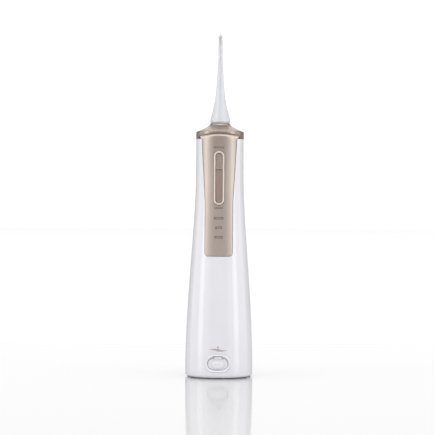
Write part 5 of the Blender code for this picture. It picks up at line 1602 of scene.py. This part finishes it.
# ---------------------------------------------------------------- studio
@dataclass
class Studio:
    """White floor, even white surroundings, tall side lights, and cards that only show as reflections."""

    distance: float = 1.45
    azimuth: float = math.radians(1.75)
    eye_height: float = 137.4 * MM
    aim_x: float = -1.9 * MM
    roll: float = math.radians(0.3)
    focal_length: float = 138.0
    surroundings: float = 1.12
    strip_radiance: float = 1.4

    def build(self) -> None:
        """Sets up the whole studio."""
        self.world()
        self.floor()
        self.lights()
        self.cards()
        self.camera()
        bpy.context.scene.view_settings.view_transform = "Standard"

    def world(self) -> None:
        """Even white light from all round."""
        world = bpy.data.worlds.new("studio")
        world.use_nodes = True
        background = world.node_tree.nodes["Background"]
        background.inputs["Color"].default_value = (1.0, 1.0, 1.0, 1.0)
        background.inputs["Strength"].default_value = self.surroundings
        bpy.context.scene.world = world

    def floor(self) -> None:
        """A glossy white floor."""
        Bench.clear()
        bpy.ops.mesh.primitive_plane_add(size=40.0, location=(0.0, 0.0, -0.05 * MM))
        floor = Bench("studio_floor").finish()
        material, graph, shader = shader_graph("floor_white")
        cloud = graph.grain(graph.place()[0], (3.0, 3.0, 3.0))
        graph.feed(shader.inputs["Base Color"], graph.mix(cloud, (0.56, 0.56, 0.56), (0.58, 0.58, 0.58)))
        graph.feed(shader.inputs["Roughness"], cloud * 0.02 + 0.08)
        floor.data.materials.append(material)

    def lights(self) -> None:
        """Two tall strips at the sides and a soft light overhead."""
        for side, name in ((-1.0, "strip_left"), (1.0, "strip_right")):
            angle = math.radians(60) * side
            reach = 1.6
            spot = Vector((reach * math.sin(angle), -reach * math.cos(angle), 0.45))
            self.area(name, spot, (0.62, 1.9), self.strip_radiance)
        self.area("overhead", Vector((0.0, -0.3, 1.9)), (1.6, 1.2), 1.4)

    def area(self, name: str, spot: Vector, size: tuple[float, float], radiance: float) -> None:
        """Adds a soft light that faces the flosser.

        Args:
            name: Its name.
            spot: Its place.
            size: Its width and height.
            radiance: How bright its face looks, where 1 is white.
        """
        data = bpy.data.lights.new(name, "AREA")
        data.shape = "RECTANGLE"
        data.size, data.size_y = size
        data.energy = radiance * size[0] * size[1] * math.pi
        light = bpy.data.objects.new(name, data)
        bpy.context.scene.collection.objects.link(light)
        light.location = spot
        aim = Vector((0.0, 0.0, 0.15)) - spot
        light.rotation_euler = aim.to_track_quat("-Z", "Y").to_euler()

    def cards(self) -> None:
        """A grey card behind the viewer and two darker ones behind the sides, seen only as reflections."""
        self.card("front_card", Vector((0.0, -2.4, 0.6)), (2.6, 3.0), 0.56)
        for side in (-1.0, 1.0):
            angle = math.radians(140) * side
            spot = Vector((1.8 * math.sin(angle), -1.8 * math.cos(angle), 0.5))
            self.card(f"edge_card_{'left' if side < 0 else 'right'}", spot, (1.6, 2.4), 0.42)

    def card(self, name: str, spot: Vector, size: tuple[float, float], radiance: float) -> None:
        """Adds a card of even brightness that faces the flosser.

        Args:
            name: Its name.
            spot: Its centre.
            size: Its width and height.
            radiance: How bright it looks.
        """
        Bench.clear()
        aim = Vector((0.0, 0.0, 0.15)) - spot
        bpy.ops.mesh.primitive_plane_add(size=1.0)
        bench = Bench(name)
        bench.resize((size[0], size[1], 1.0), (0.0, 0.0, 0.0))
        card = bench.finish()
        card.data.transform(Matrix.Translation(spot) @ aim.to_track_quat("Z", "Y").to_matrix().to_4x4())
        material = bpy.data.materials.new(name)
        material.use_nodes = True
        graph = Graph(material.node_tree)
        glow = graph.node("ShaderNodeEmission", {}, {"Color": (1.0, 1.0, 1.0, 1.0), "Strength": radiance})
        graph.feed(material.node_tree.nodes["Material Output"].inputs["Surface"], glow.outputs[0])
        card.data.materials.append(material)
        card.visible_camera = False
        card.visible_diffuse = False
        card.visible_transmission = False
        card.visible_shadow = False

    def camera(self) -> None:
        """A long lens at the height of the flosser's middle."""
        data = bpy.data.cameras.new("camera")
        data.lens = self.focal_length
        data.sensor_width = 36.0
        camera = bpy.data.objects.new("camera", data)
        bpy.context.scene.collection.objects.link(camera)
        aim = Vector((self.aim_x, 0.0, self.eye_height))
        camera.location = (self.distance * math.sin(self.azimuth), -self.distance * math.cos(self.azimuth),
                           self.eye_height)
        look = (aim - camera.location).to_track_quat("-Z", "Y").to_matrix().to_4x4()
        camera.rotation_euler = (look @ Matrix.Rotation(self.roll, 4, "Z")).to_euler()
        bpy.context.scene.camera = camera


def main() -> None:
    """Builds the studio and every sub-assembly, and dresses the carried-over nodes."""
    logging.basicConfig(level=logging.INFO, format="%(name)s %(message)s")
    form = BodyForm.from_frame()
    wardrobe = Wardrobe()
    Studio().build()
    assemblies = [
        TankSleeve(form, wardrobe, "tank"),
        FillPort(form, wardrobe, "tank"),
        FillFlap(form, wardrobe, "fill_flap"),
        FrontPanel(form, wardrobe, "handle"),
        KeyRing(form, wardrobe, "handle"),
        Key(form, wardrobe, "power_key"),
        Key(form, wardrobe, "mode_key", node="mode_key", finish=MODE, slot_name="key_brown",
            round_end_up=False),
        Indicators(form, wardrobe, "handle"),
        TopCap(form, wardrobe, "handle"),
        RearDetails(form, wardrobe, "handle"),
        ChargeCover(form, wardrobe, "charge_cover"),
        ReleaseButton(form, wardrobe, "release"),
        HandleCore(form, wardrobe, "handle"),
        Socket(form, wardrobe, "nozzle_socket"),
        Nozzle(form, wardrobe, "nozzle"),
    ]
    for assembly in assemblies:
        assembly.build()
    for node, finish in CARRIED.items():
        wardrobe.dress(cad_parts[node], finish)
        LOG.info("frame: %s in %s", node, finish.name)
    Bench.clear()


if __name__ == "__main__":
    main()
